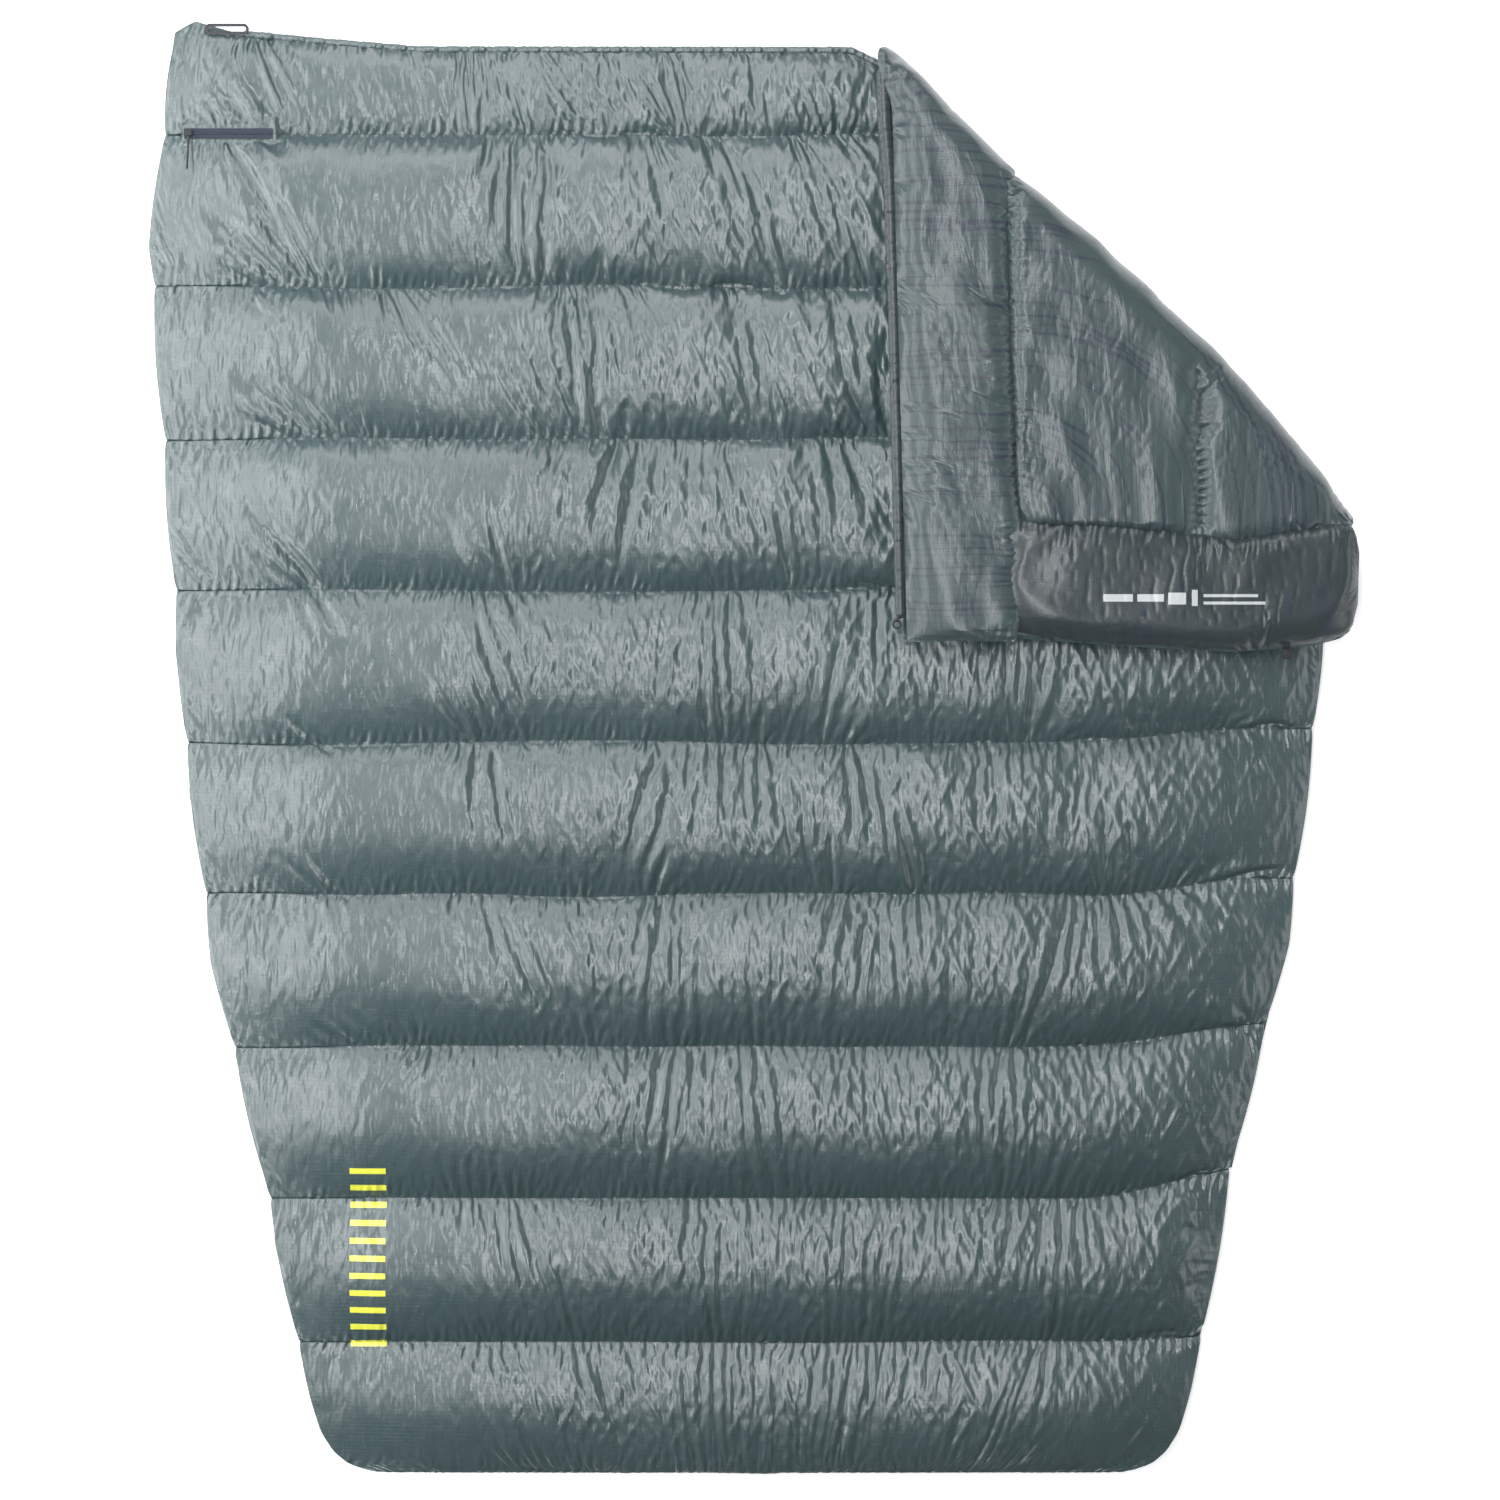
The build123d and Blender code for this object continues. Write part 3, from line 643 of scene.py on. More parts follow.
def cut_cloth(x, y, rows, seed, tall=1.04, slant=0.004, gather=0.003):
    """The flat cut of the quilted cloth: larger than its place, and sewn a little askew at each seam."""
    numbers = sorted({chamber for chamber, _ in rows}) + [max(chamber for chamber, _ in rows) + 1]
    starts = [row for row, (_, part) in enumerate(rows) if part == 0] + [len(rows) - 1]
    shift = np.zeros_like(x)
    lines = []
    for number, row in zip(numbers, starts):
        wander = gather * waves(x[row], seed + number, 0.22)
        wander = wander + 0.0014 * waves(x[row], seed + 50 + number, 0.062)
        wander = wander + 0.0005 * waves(x[row], seed + 90 + number, 0.024)
        lean = slant * (-1) ** number * waves(x[row], seed + 7, 0.6)
        lines.append(wander + lean)
    for row, (chamber, part) in enumerate(rows):
        at = chamber - numbers[0]
        shift[row] = (1 - part) * lines[at] + part * lines[at + 1]
    stretch = [tall + 0.007 * waves(x[row], seed + 120 + rows[row][0], 0.26) for row in range(1, len(x))]
    stretch = 1 + (np.array(stretch) - 1) * (0.55 + 0.45 * smooth((x[1:] + side_reach(y[1:])) / 0.3))
    height = np.concatenate([0 * y[:1], np.cumsum(np.diff(y, axis=0) * stretch, 0)])
    return np.stack([x + np.interp(x, LOOSE_X, LOOSE) + shift, height, 0 * x], -1)


def sewn_flags(shape, rows):
    """Which points of a quilted grid are free: all but the seams and the outer edges."""
    free = np.ones(shape)
    for row, (_, part) in enumerate(rows):
        if part == 0 or row == len(rows) - 1:
            free[row] = 0
    free[:, 0] = 0
    free[:, -1] = 0
    return free


def quilted_top(x, y, rows, seed, head_z, shoulder=9.0):
    """Height, free flags, cut and floor for a quilted cloth before it settles."""
    free = sewn_flags(x.shape, rows)
    profile = chamber_profile(rows, x.shape[1], shoulder)
    share = np.linspace(0, 1, x.shape[1])
    inwards = smooth(np.minimum(share * 7, (1 - share) * 25))
    z = SEAM_Z + START_RISE * profile
    for row in np.flatnonzero(free[:, 1] == 0):
        z[row] = EDGE_Z + (SEAM_Z - EDGE_Z) * inwards
    z[0] = EDGE_Z
    z[-1] = head_z
    z[:, 0] = EDGE_Z
    z[:, -1] = EDGE_Z
    uneven = np.random.default_rng(seed).normal(0, 0.001, x.shape)
    points = np.stack([x, y, z + uneven * free], -1)
    low = SEAM_Z - 0.002 + 0.6 * START_RISE * profile
    return points, free, cut_cloth(x, y, rows, seed), low


def beside_zip(points):
    """Which points lie at the zip's tapes."""
    low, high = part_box("zip_tapes")
    x, y = points[..., 0], points[..., 1]
    return (x > low.x - 0.006) & (x < high.x + 0.008) & (y > low.y - 0.007) & (y < high.y + 0.007)


def seam_puckers(points, flat, rows, seed):
    """Puckers both sides of every seam of a quilted cloth, but not at the zip."""
    wide = np.diff(CHAMBER_EDGES)
    gap = [min(part, 1 - part) * wide[chamber] for chamber, part in rows]
    at = np.linspace(0, len(gap) - 1, len(points))
    gap = np.interp(at, np.arange(len(gap)), gap)[:, None] + 0.5 * beside_zip(points)
    return pucker(points, flat[..., 0], flat[..., 1], gap, seed), gap


def facets(points, flat, gap, seed):
    """Crossing creases in patches over the cloth between the seams, few at the smooth left side."""
    u, v = flat[..., 0], flat[..., 1]
    one_way = crumple(u + 0.5 * v, v, seed, FACET_PITCH, FACET_LENGTH)
    other_way = crumple(u - 0.4 * v, v, seed + 1, FACET_PITCH, FACET_LENGTH)
    patches = smooth(0.65 + 0.6 * waves(u + 0.5 * v, seed + 2, 0.4) * waves(v - 0.2 * u, seed + 3, 0.3))
    patches = patches * (0.3 + 0.7 * smooth((points[..., 0] - CALM_X) / CALM_SPAN))
    from_side = side_reach(points[..., 1]) - abs(points[..., 0])
    away = smooth(gap / 0.03) * (gap < 0.4) * smooth(from_side / 0.05)
    points[..., 2] += FACET_RISE * patches * away * (np.maximum(one_way, other_way) - 0.6)
    return points


def hold_zip(points, free):
    """Holds the cloth level under the zip's tapes."""
    low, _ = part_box("zip_tapes")
    held = beside_zip(points)
    points[..., 2] = np.where(held, low.z - 0.0006, points[..., 2])
    free[held] = 0
    return points, free


def hold_side_seam(points, free, rows):
    """Sews the short upright seam near the right edge of the chamber above the foot's."""
    for row, (chamber, _) in enumerate(rows):
        if chamber == 1:
            column = int(np.argmin(abs(points[row, :, 0] - 0.618)))
            points[row, column, 2] = np.minimum(points[row, column, 2], 0.047)
            free[row, column] = 0
    return points, free


def stitched(points, step=STITCH_PITCH):
    """A line of stitches along a seam's points, as one piece of small capsules."""
    distance = np.concatenate([[0], np.cumsum(np.linalg.norm(np.diff(points, axis=0), axis=1))])
    starts = np.arange(0.01, distance[-1] - 0.01, step)
    vertices, faces = [], []
    for start in starts:
        at = [start, start + 0.25 * step, start + 0.55 * step, start + 0.8 * step]
        middle = np.stack([np.interp(at, distance, points[:, axis]) for axis in range(3)], -1)
        sizes = (0.0001, THREAD_HALF, THREAD_HALF, 0.0001)
        for place, size, lift in zip(middle, sizes, (0, THREAD_RISE, THREAD_RISE, 0)):
            for turn in range(4):
                angle = math.pi / 2 * turn + math.pi / 4
                vertices.append(place + (0, size * math.cos(angle), lift + size * math.sin(angle)))
        base = len(vertices) - 16
        for ring in range(3):
            for turn in range(4):
                first = base + 4 * ring + turn
                second = base + 4 * ring + (turn + 1) % 4
                faces.append((first, second, second + 4, first + 4))
    return vertices, faces


def stitch_piece(name, lines, body):
    """All of a group of seams' stitches."""
    vertices, faces = [], []
    for line in lines:
        more, rings = stitched(line)
        faces += [tuple(len(vertices) + corner for corner in face) for face in rings]
        vertices += more
    mesh = bpy.data.meshes.new(name)
    mesh.from_pydata([tuple(v) for v in vertices], [], faces)
    mesh.materials.append(THREAD)
    piece = bpy.data.objects.new(name, mesh)
    bpy.context.scene.collection.objects.link(piece)
    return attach(piece, body)


def split_chambers(points, flat, rows):
    """The rows of each chamber of a settled cloth, its two seams included."""
    scale = (len(points) - 1) // (len(rows) - 1)
    starts = [row * scale for row, (_, part) in enumerate(rows) if part == 0] + [len(points) - 1]
    for low, high in zip(starts, starts[1:]):
        yield points[low : high + 1], flat[low : high + 1]


def base_top():
    """The quilt's top, one piece for each chamber, and the stitches of its seams."""
    rows = row_plan(COARSE)
    x, y = base_plan(rows, 161)
    points, free, flat, low = quilted_top(x, y, rows, RANDOM, HEAD_Z)
    points, free = hold_zip(points, free)
    points, free = hold_side_seam(points, free, rows)
    under_corner = smooth((x - 0.15) / 0.04) * smooth((y - 0.09) / 0.04)
    high = FREE_CROWN_Z + (CROWN_Z - FREE_CROWN_Z) * under_corner
    crease = 0.0015 * (0.3 + 0.7 * smooth((x - CALM_X) / CALM_SPAN))
    points, flat = settle_in_steps(points, free, flat, low, high, (220, 100, 34), 2e-5, 0.05, 0, crease)
    points, gap = seam_puckers(points, flat, rows, 150)
    points = facets(points, flat, gap, 170)
    fills = ["down_fill_foot"] + [f"down_fill_{n}" for n in range(8, 0, -1)] + ["down_fill_header"]
    seams = []
    for number, (part, cut) in enumerate(split_chambers(points, flat, rows)):
        piece = sheet_mesh(f"shell_chamber_{number + 1}", part, cut, SHELL, "quilt")
        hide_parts(fills[number])
        if number:
            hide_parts(f"baffle_wall_{10 - number}")
            seams.append(part[0])
    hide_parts("outer_shell", "zip_pocket_bag", "corner_gusset")
    stitch_piece("shell_stitches", seams, "quilt")
    return points


# ---- the quilt's underside ----

# The draft tubes under the edges, and the foot pocket's panel: its low side, high side and edge.
FLOOR_GAP = 0.0008
SIDE_TUBE_FOOT_Y = -0.585
SIDE_TUBE_WIDTH = 0.162
FOOT_POCKET_Y = (-1.001, -0.635)
FOOT_POCKET_Z = (0.0006, 0.010, 0.012)


def liner_under():
    """The lining under the quilt, quilted on the same seams, with room for the draft tubes."""
    rows = row_plan(2 * COARSE)
    x, y = base_plan(rows, 121)
    part = np.array([part for _, part in rows])[:, None]
    inner = smooth((side_reach(y) - abs(x) - 0.15) / 0.05) * smooth((HEAD_TUBE_Y - y) / 0.05)
    depth = 0.0145 * np.sin(math.pi * part) ** 0.6 * inner
    depth = depth + 0.0012 * waves(x + 0.4 * y, 61, 0.06) * inner * np.sin(math.pi * part)
    z = EDGE_Z - 0.001 - np.clip(depth, 0, 0.016)
    z[-1, 1:-1] = HEAD_Z - 0.001
    points = np.stack([x, y, z], -1)
    piece = sheet_mesh("liner_panel", finer(points), finer(points), LINER, "quilt", turned=True)
    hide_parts("inner_liner")


def pillow(name, x, y, low, high, edge, material, body, seed, long_creases=0.0012):
    """A closed stuffed piece over a plan grid, from its low to its high side, sewn at its edges."""
    rows, cols = x.shape
    across = np.sin(math.pi * np.linspace(0, 1, cols))[None] ** 0.45
    down = np.clip(np.sin(math.pi * np.linspace(0, 1, rows)) * 4, 0, 1)[:, None] ** 0.5
    swell = across * down
    crease = long_creases * waves(x + 0.35 * y, seed, 0.045) * waves(y, seed + 1, 0.3)
    upper = edge + (high - edge) * swell + np.minimum(0, crease) * swell
    lower = edge + (low - edge) * swell + np.maximum(0, crease) * swell
    top = np.stack([x, y, upper], -1)
    under = np.stack([x, y, lower], -1)[:, ::-1]
    points = finer(np.concatenate([top, under[:, 1:]], 1))
    width = np.concatenate([np.arange(cols), cols - 1 + np.arange(1, cols)]) * 0.008
    cut = np.stack(np.broadcast_arrays(width[None], np.arange(rows)[:, None] * 0.01), -1)
    piece = sheet_mesh(name, points, finer(cut), material, body)
    return piece


def strip_plan(start, end, inner, outer, rows, cols):
    """A plan grid between two lines, each given as a function of the way along."""
    along = np.linspace(start, end, rows)[:, None]
    share = np.linspace(0, 1, cols)[None]
    return inner(along) * (1 - share) + outer(along) * share, along + 0 * share


def draft_tubes():
    """The stuffed tubes under the side edges and the head edge."""
    low, high, edge = FLOOR_GAP, EDGE_Z - 0.001, EDGE_Z - 0.004
    for name, side, top in (("left", -1, 0.762), ("right", 1, 0.285)):
        x, y = strip_plan(
            SIDE_TUBE_FOOT_Y,
            top,
            lambda t: side * (side_reach(t) - SIDE_TUBE_WIDTH),
            lambda t: side * (side_reach(t) - 0.004),
            90,
            18,
        )
        piece = pillow(f"{name}_tube", x, y, low, high, edge, LINER, "quilt", 80)
        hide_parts(f"{name}_draft_tube", f"{name}_draft_tube_fill")
    along = np.linspace(-0.79, FOLD_SUM - 0.93, 100)[:, None]
    share = np.linspace(0, 1, 18)[None]
    x = along + share * (np.where(along > 0.1, (along - 0.1) / 0.093 * 0.16, 0))
    y = head_line(along) - 0.006 - share * (head_line(along) - 0.006 - HEAD_TUBE_Y)
    piece = pillow("head_tube", x, y, low, high, edge, LINER, "quilt", 84)
    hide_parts("head_draft_tube", "head_draft_tube_fill")


def foot_pocket():
    """The padded panel under the foot, sewn up on three sides and open towards the head."""
    x, y = strip_plan(
        *FOOT_POCKET_Y, lambda t: -side_reach(t) + 0.004, lambda t: side_reach(t) - 0.004, 44, 110
    )
    piece = pillow("foot_pocket", x, y, *FOOT_POCKET_Z, LINER, "quilt", 88)
    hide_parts("foot_pocket_panel", "foot_pocket_fill")


# ---- the folded corner, built where it rests ----

# The spread corner's lowest and highest line across it.
CORNER_LOW_Y = 0.308
CORNER_HIGH_Y = 0.915

# The fold over the crease: how far it reaches out, and the height of its lower end.
ROLL_REACH = 0.020
ROLL_BOTTOM = 0.006

# The upright seam across the corner's lining panel.
LINING_SEAM_X = 0.613
LINING_SEAM_Z = 0.107


def folded(points):
    """Turns points of the spread corner over the crease to where they rest."""
    turned = np.empty_like(points)
    turned[..., 0] = FOLD_SUM - points[..., 1]
    turned[..., 1] = FOLD_SUM - points[..., 0]
    turned[..., 2] = 2 * HINGE_Z - points[..., 2]
    return turned


def hem_level(x):
    """How far towards the head the spread corner's shell reaches, up to the hem."""
    return np.interp(x, FOLD_SUM - np.array(HEM_Y[::-1]), FOLD_SUM - np.array(HEM_X[::-1])) - 0.004


def corner_shell():
    """The corner's shell side, which faces down when folded: quilted like the rest."""
    lines = [CORNER_LOW_Y] + [seam for seam in SEAMS if seam > 0.4] + [CORNER_HIGH_Y]
    rows = rows_between(lines, COARSE)
    level = np.array([lines[c] + part * (lines[c + 1] - lines[c]) for c, part in rows])[:, None]
    share = np.linspace(0, 1, 65)[None]
    header = np.clip((level - lines[-2]) / (lines[-1] - lines[-2]), 0, 1)
    left = FOLD_SUM - level - header * (hem_level(FOLD_SUM - lines[-1]) - lines[-1]) + 0.002
    x = left + share * (FOLD_SUM - np.interp(FOLD_SUM - level, TUBE_X, TUBE_TOP) - left)
    y = level + header * (hem_level(x) - lines[-1])
    points, free, flat, low = quilted_top(x, y, rows, RANDOM + 200, HEAD_Z, 8.0)
    points, flat = settle_in_steps(points, free, flat, low, CROWN_Z - 0.0008, (160, 70), 2e-5)
    piece = sheet_mesh("corner_shell_cloth", folded(points), flat, SHELL, "corner", turned=True)
    inner = [f"corner_fill_{n}" for n in range(4)] + [f"corner_baffle_{n}" for n in range(1, 4)]
    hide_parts("corner_shell", *inner)


def roll_over(crease, out, count, top, bottom=ROLL_BOTTOM):
    """Points that carry cloth over the crease and down its outside, from top to bottom height."""
    angle = np.linspace(math.pi / 2, -math.pi / 2, count + 1)[1:, None]
    middle = (top + bottom) / 2
    half = (top - bottom) / 2
    reach = (ROLL_REACH + out)[None] * np.cos(angle) - 0.012 * (angle < -1.2)
    x = crease[None, :, 0] + reach * math.sqrt(0.5)
    y = crease[None, :, 1] + reach * math.sqrt(0.5)
    return np.stack([x, y, middle + half * np.sin(angle) + 0 * x], -1)


def strip_seam(y):
    """The x of the gathered seam between the head tube and the corner's lining."""
    return np.interp(y, STRIP_SEAM_Y, STRIP_SEAM_X)


def sewn_rim(points):
    """Flags for a grid that is sewn down along all four of its edges."""
    sewn = np.ones(points.shape[:2], bool)
    sewn[1:-1, 1:-1] = False
    return sewn


def settle_liner(points, sewn, seed, name, material, wide, tall, shear, high, gathers=("left",)):
    """Lets a piece of the corner's lining settle over its uneven down, gathered at some seams.

    Its cut is wide and tall times its place, and skewed by up to about shear.
    """
    free = np.where(sewn, 0.0, 1.0)
    rows, cols = free.shape
    across = np.linalg.norm(np.diff(points, axis=1), axis=2)
    along = np.linalg.norm(np.diff(points, axis=0), axis=2)
    u = np.concatenate([np.zeros((rows, 1)), np.cumsum(across, 1)], 1)
    v = np.concatenate([np.zeros((1, cols)), np.cumsum(along, 0)], 0)
    middle = (points - points[:1, :1]) * (wide, tall, 1.0)
    wander = shear * (waves(u + 0.5 * v, seed, 0.11) + 0.4 * waves(v - 0.3 * u, seed + 5, 0.05))
    flat = middle + np.stack([wander, 0.6 * wander, 0 * wander], -1)
    rough = np.random.default_rng(seed).normal(0, 0.0008, free.shape) * free
    start = points.copy()
    start[..., 2] += rough
    low = points[..., 2] - 0.003
    lumps = waves(u + 0.4 * v, seed + 3, 0.15) * waves(v - 0.3 * u, seed + 4, 0.19)
    high = high - 0.0035 * (1 - np.clip(lumps, -1, 1))
    high = np.maximum(high, points[..., 2] + 0.0005)
    settled, _ = settle_in_steps(start, free, flat, low, high, (160, 80, 24), 2e-5, 0.05, seed, 0.0002, 0.006)
    plan = np.stack([u, v], -1)
    while len(plan) < len(settled):
        plan = finer(plan)
    if "left" in gathers:
        settled = pucker(settled, plan[..., 1], plan[..., 0], plan[..., 0], seed + 61)
    if "right" in gathers:
        settled = pucker(settled, plan[..., 1], plan[..., 0], plan[:, -1:, 0] - plan[..., 0], seed + 62)
    return sheet_mesh(name, settled, plan, material)


def blend_over_crease(piece):
    """Bakes the piece's placement into its mesh; the piece is not attached to the corner."""
    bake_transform(piece)


def corner_strip():
    """The head draft tube on the folded corner, and on over the crease."""
    share = np.linspace(0, 1, 21)
    start_x, end_x = STRIP_CREASE_X
    top_x = start_x + share * (end_x - start_x)
    out = np.interp(top_x, ROLL_X, ROLL_OUT)
    crease = np.stack([top_x, FOLD_SUM - top_x], -1)
    rows = []
    steps = 86
    for step in range(steps + 1):
        along = step / steps
        y = STRIP_END_Y + along * (crease[:, 1] - 0.006 - STRIP_END_Y)
        left = 0.214 - 0.022 * along
        x = left + share * (strip_seam(y) - left)
        x = x * (1 - smooth((along - 0.9) / 0.1)) + top_x * smooth((along - 0.9) / 0.1)
        swell = np.sin(math.pi * share) ** 0.6 * min(1, 6 * along + 0.1) ** 0.5
        swell = swell * (1 - 0.35 * smooth((along - 0.85) / 0.15))
        rows.append(np.stack([x, y, 0.099 + 0.008 * share + 0.014 * swell], -1))
    body = np.array(rows)
    roll = roll_over(crease, out, 16, body[-1, :, 2])
    points = np.concatenate([body, roll])
    sewn = sewn_rim(points)
    cut = (1.006, 1.012, 0.0028)
    piece = settle_liner(points, sewn, 21, "corner_strip", LINER, *cut, 0.1225, ("right",))
    blend_over_crease(piece)
    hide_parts("corner_head_tube", "corner_head_tube_fill")


def corner_triangle():
    """The corner's lining panel: rows lie parallel to the crease, and the last go over it."""
    corner_y = 0.304
    share = np.linspace(0, 1, 81)
    steps = 42
    rows = []
    start_x = STRIP_CREASE_X[1]
    span = FOLD_SUM - start_x - corner_y
    for step in range(steps + 1):
        reach = (0.02 + 0.98 * step / steps) * (span - 0.0005)
        end = start_x + reach + (0.010 if step < steps else 0)
        low = np.interp(end, TUBE_X, TUBE_TOP) - 0.008
        y = (corner_y + reach) * (1 - share) + low * share
        x = strip_seam(y) * (1 - share) + end * share
        inwards = np.minimum(x - strip_seam(y), y - np.interp(x, TUBE_X, TUBE_TOP) + 0.004)
        rows.append(np.stack([x, y, 0.1060 + 0.0065 * np.sqrt(np.clip(inwards / 0.06, 0, 1))], -1))
    body = np.array(rows)
    crease = body[-1, :, :2]
    out = np.interp(crease[:, 0], ROLL_X, ROLL_OUT)
    points = np.concatenate([body, roll_over(crease, out, 16, body[-1, :, 2])])
    sewn = sewn_rim(points)
    for step in range(24, steps):
        column = int(np.argmin(abs(points[step, :, 0] - LINING_SEAM_X)))
        if 0 < column < len(share) - 1:
            points[step, column, 2] = LINING_SEAM_Z
            sewn[step, column] = True
    cut = (1.006, 1.006, 0.0030)
    piece = settle_liner(points, sewn, 33, "corner_lining", LINER, *cut, 0.1205, ("left", "right"))
    blend_over_crease(piece)
    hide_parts("corner_liner")


def corner_side_tube():
    """The side draft tube on the folded corner: a fat roll with a rounded free end."""
    share = np.linspace(0, 1, 25)
    rows = []
    cols = 60
    for step in range(cols + 1):
        along = step / cols
        x = TUBE_START_X + along * (TUBE_END_X - TUBE_START_X)
        close = math.sqrt(max(0.0, 1 - max(0.0, (along - 0.94) / 0.06) ** 2))
        top, bottom = np.interp(x, TUBE_X, TUBE_TOP), np.interp(x, TUBE_X, TUBE_LOW)
        middle = (top + bottom) / 2
        half = (top - bottom) / 2 * (0.45 + 0.55 * close)
        y = middle - half + share * 2 * half
        swell = np.sin(math.pi * share) ** 0.55 * min(1, 6 * along + 0.15) ** 0.5 * close
        rows.append(np.stack([x + 0 * share, y, 0.094 + 0.011 * share + 0.019 * swell], -1))
    points = np.array(rows)
    sewn = sewn_rim(points)
    cut = (1.010, 1.030, 0.0028)
    piece = settle_liner(points[:, ::-1], sewn, 55, "corner_side_roll", TUBE_LINER, *cut, 0.1240)
    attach(piece, "corner")
    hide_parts("corner_side_tube", "corner_side_tube_fill")
    under = points.copy()
    under[..., 2] = TUBE_MIDDLE_Z - 0.95 * (points[..., 2] - TUBE_MIDDLE_Z)
    under[:, [0, -1]] = points[:, [0, -1]]
    under[[0, -1]] = points[[0, -1]]
    lower = sheet_mesh("corner_side_roll_under", finer(under), finer(points), SHELL, "corner")


def snap_tape():
    """The flat tape that holds the snap's tab to the side tube."""
    path = [(SNAP_TAPE_X, y, SNAP_TAPE_Z) for y in SNAP_TAPE_Y]
    radii = [SNAP_TAPE_HALF] * len(path)
    piece = tube_mesh("side_snap_tape", path, radii, HEM, "corner", 0.12)


def corner_tube_end():
    """The underside of the head tube's free end."""
    x, y = strip_plan(STRIP_END_Y, 0.31, lambda t: 0.209 + 0 * t, strip_seam, 24, 22)
    swell = np.sin(math.pi * np.linspace(0, 1, 22))[None] ** 0.5
    ends = np.clip(np.linspace(0, 1, 24) * 5, 0, 1)[:, None] ** 0.5
    points = np.stack([x, y, 0.100 - 0.022 * swell * ends], -1)
    piece = sheet_mesh("corner_tube_end_cloth", finer(points), finer(points), SHELL, "corner", turned=True)
    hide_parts("corner_tube_end", "corner_tube_end_fill")


# ---- hems ----


def hem_piece(name, path, width, seed, material, body, flatten, hidden):
    """A gathered channel along the head edge, puckered by the elastic inside it."""
    path = np.asarray(path, float)
    steps = np.concatenate([[0], np.cumsum(np.linalg.norm(np.diff(path, axis=0), axis=1))])
    fine = np.arange(0, steps[-1], 0.0016)
    line = np.stack([np.interp(fine, steps, path[:, axis]) for axis in range(3)], -1)
    ruffle = waves(fine, seed, 0.009) * 0.05 + waves(fine, seed + 1, 0.03) * 0.05
    ends = np.clip(np.minimum(fine, fine[-1] - fine) / 0.006, 0.05, 1) ** 0.5
    radii = np.interp(fine, steps, width) * (1 + ruffle) * ends
    line[:, 2] += 0.0010 * waves(fine, seed + 2, 0.02)
    piece = tube_mesh(name, line, radii, material, body, flatten)
    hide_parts(*hidden)


def hems():
    """The head edge's hem on the quilt, and on the folded corner."""
    x = np.array([-0.70, -0.60, -0.459, -0.2, 0.10, 0.139, 0.165, 0.181, 0.192])
    path = np.stack([x, head_line(x) + 0.001, 0 * x + HEAD_Z], -1)
    hidden = ("head_hem", "head_elastic")
    hem_piece("head_hem_cloth", path, 0 * x + 0.0055, 91, SHELL, "quilt", 1.0, hidden)
    path = np.stack([HEM_X, HEM_Y, np.full(len(HEM_Y), HEM_Z)], -1)
    width = (0.0070, 0.0075, 0.0080, 0.0090, 0.0100, 0.0090)
    hidden = ("corner_hem", "corner_elastic")
    hem_piece("corner_hem_cloth", path, width, 95, HEM, "corner", 0.55, hidden)


# ---- the hard parts ----


def finish_nodes():
    """The small hard parts keep their CAD shape and get their own finishes."""
    finishes = {
        "zip_tapes": (ZIP_TAPE, "zip_tape"),
        "zip_coil": (ZIP_COIL, "zip_plastic"),
        "zip_stops": (ZIP_METAL, "zip_metal"),
        "zip_slider": (ZIP_METAL, "zip_metal"),
        "zip_pull": (CORD, "cord"),
        "webbing_loop": (WEBBING, "webbing"),
        "snap_tab": (SNAP, "snap_plastic"),
        "snap_cap": (SNAP, "snap_plastic"),
        "cord_eyelet": (EYELET, "eyelet_metal"),
        "cord_loop": (CORD, "cord"),
    }
    for name, (material, slot) in finishes.items():
        node = frame["nodes"][name]
        node.data.materials.clear()
        node.data.materials.append(material)


# ---- camera, light and floor ----

CAMERA_PLACE = (0, -0.0056, 4.93)
FLOOR_HALF = 40
FLOOR_GLOW = 0.55
SKY_STRENGTH = 0.14

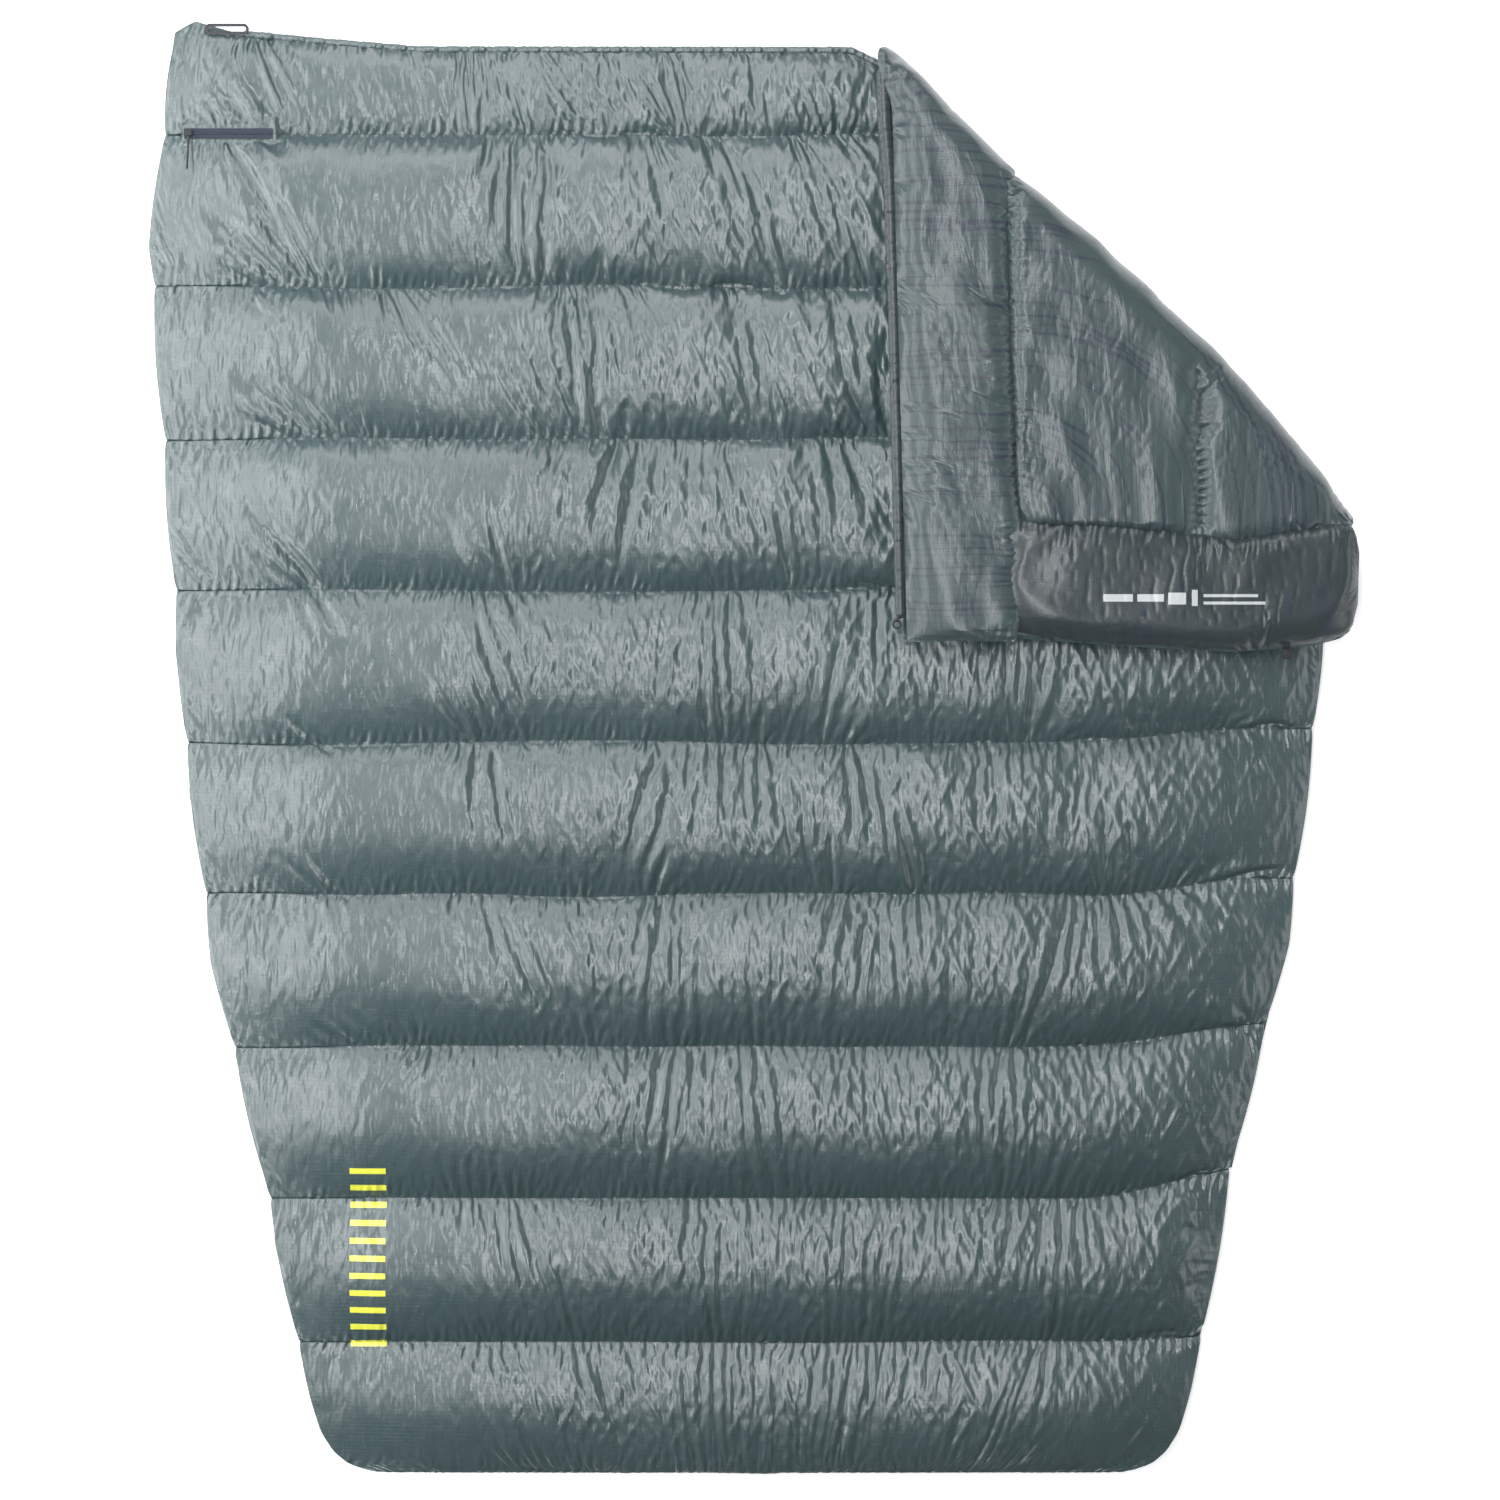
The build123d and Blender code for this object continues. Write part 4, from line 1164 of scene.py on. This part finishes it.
# Each light's name, place, what it faces (None: straight down), size and power.
LIGHTS = (
    ("overhead", (-0.02, 1.2, 3.2), None, (0.34, 5.2), 86),
    ("left_strip", (-2.05, 1.2, 3.0), None, (0.34, 5.2), 95),
    ("head_box", (-0.2, 2.7, 1.3), (0, 0.2, 0), (2.6, 0.8), 26),
    ("left_box", (-2.1, 0.1, 0.9), (-0.6, 0.1, 0), (3.0, 0.8), 45),
    ("right_box", (2.3, 0, 1.0), (0.6, 0, 0), (3.0, 0.8), 14),
)


def make_camera():
    """Straight above the quilt, as in the photo."""
    data = bpy.data.cameras.new("camera")
    data.lens = 85
    data.sensor_width = 36
    camera = bpy.data.objects.new("camera", data)
    camera.location = CAMERA_PLACE
    bpy.context.scene.collection.objects.link(camera)
    bpy.context.scene.camera = camera


def area_light(name, place, aim, size, power):
    """A soft rectangular light, its width level. With no aim it faces straight down."""
    data = bpy.data.lights.new(name, "AREA")
    data.shape = "RECTANGLE"
    data.size, data.size_y = size
    data.energy = power
    light = bpy.data.objects.new(name, data)
    light.location = place
    if aim is not None:
        light.rotation_euler = (Vector(aim) - Vector(place)).to_track_quat("-Z", "Y").to_euler()
    bpy.context.scene.collection.objects.link(light)


def make_studio():
    """A pale floor, the lights, and an even sky."""
    mesh = bpy.data.meshes.new("floor")
    corners = [(x * FLOOR_HALF, y * FLOOR_HALF, 0) for x, y in ((-1, -1), (1, -1), (1, 1), (-1, 1))]
    mesh.from_pydata(corners, [], [(0, 1, 2, 3)])
    floor = bpy.data.objects.new("floor", mesh)
    shader = Shader("floor_paper")
    white = (0.94, 0.94, 0.94, 1)
    paper = {"Base_Color": white, "Roughness": 0.9}
    mesh.materials.append(shader.set(**paper, Emission_Color=white, Emission_Strength=FLOOR_GLOW))
    bpy.context.scene.collection.objects.link(floor)
    for light in LIGHTS:
        area_light(*light)
    world = bpy.data.worlds.new("studio")
    world.use_nodes = True
    sky = world.node_tree.nodes["Background"]
    sky.inputs["Color"].default_value = (0.95, 0.97, 1.0, 1)
    sky.inputs["Strength"].default_value = SKY_STRENGTH
    bpy.context.scene.world = world
    bpy.context.scene.view_settings.view_transform = "Standard"


base_top()
liner_under()
draft_tubes()
foot_pocket()
corner_shell()
corner_strip()
corner_triangle()
corner_side_tube()
snap_tape()
corner_tube_end()
hems()
finish_nodes()
make_camera()
make_studio()
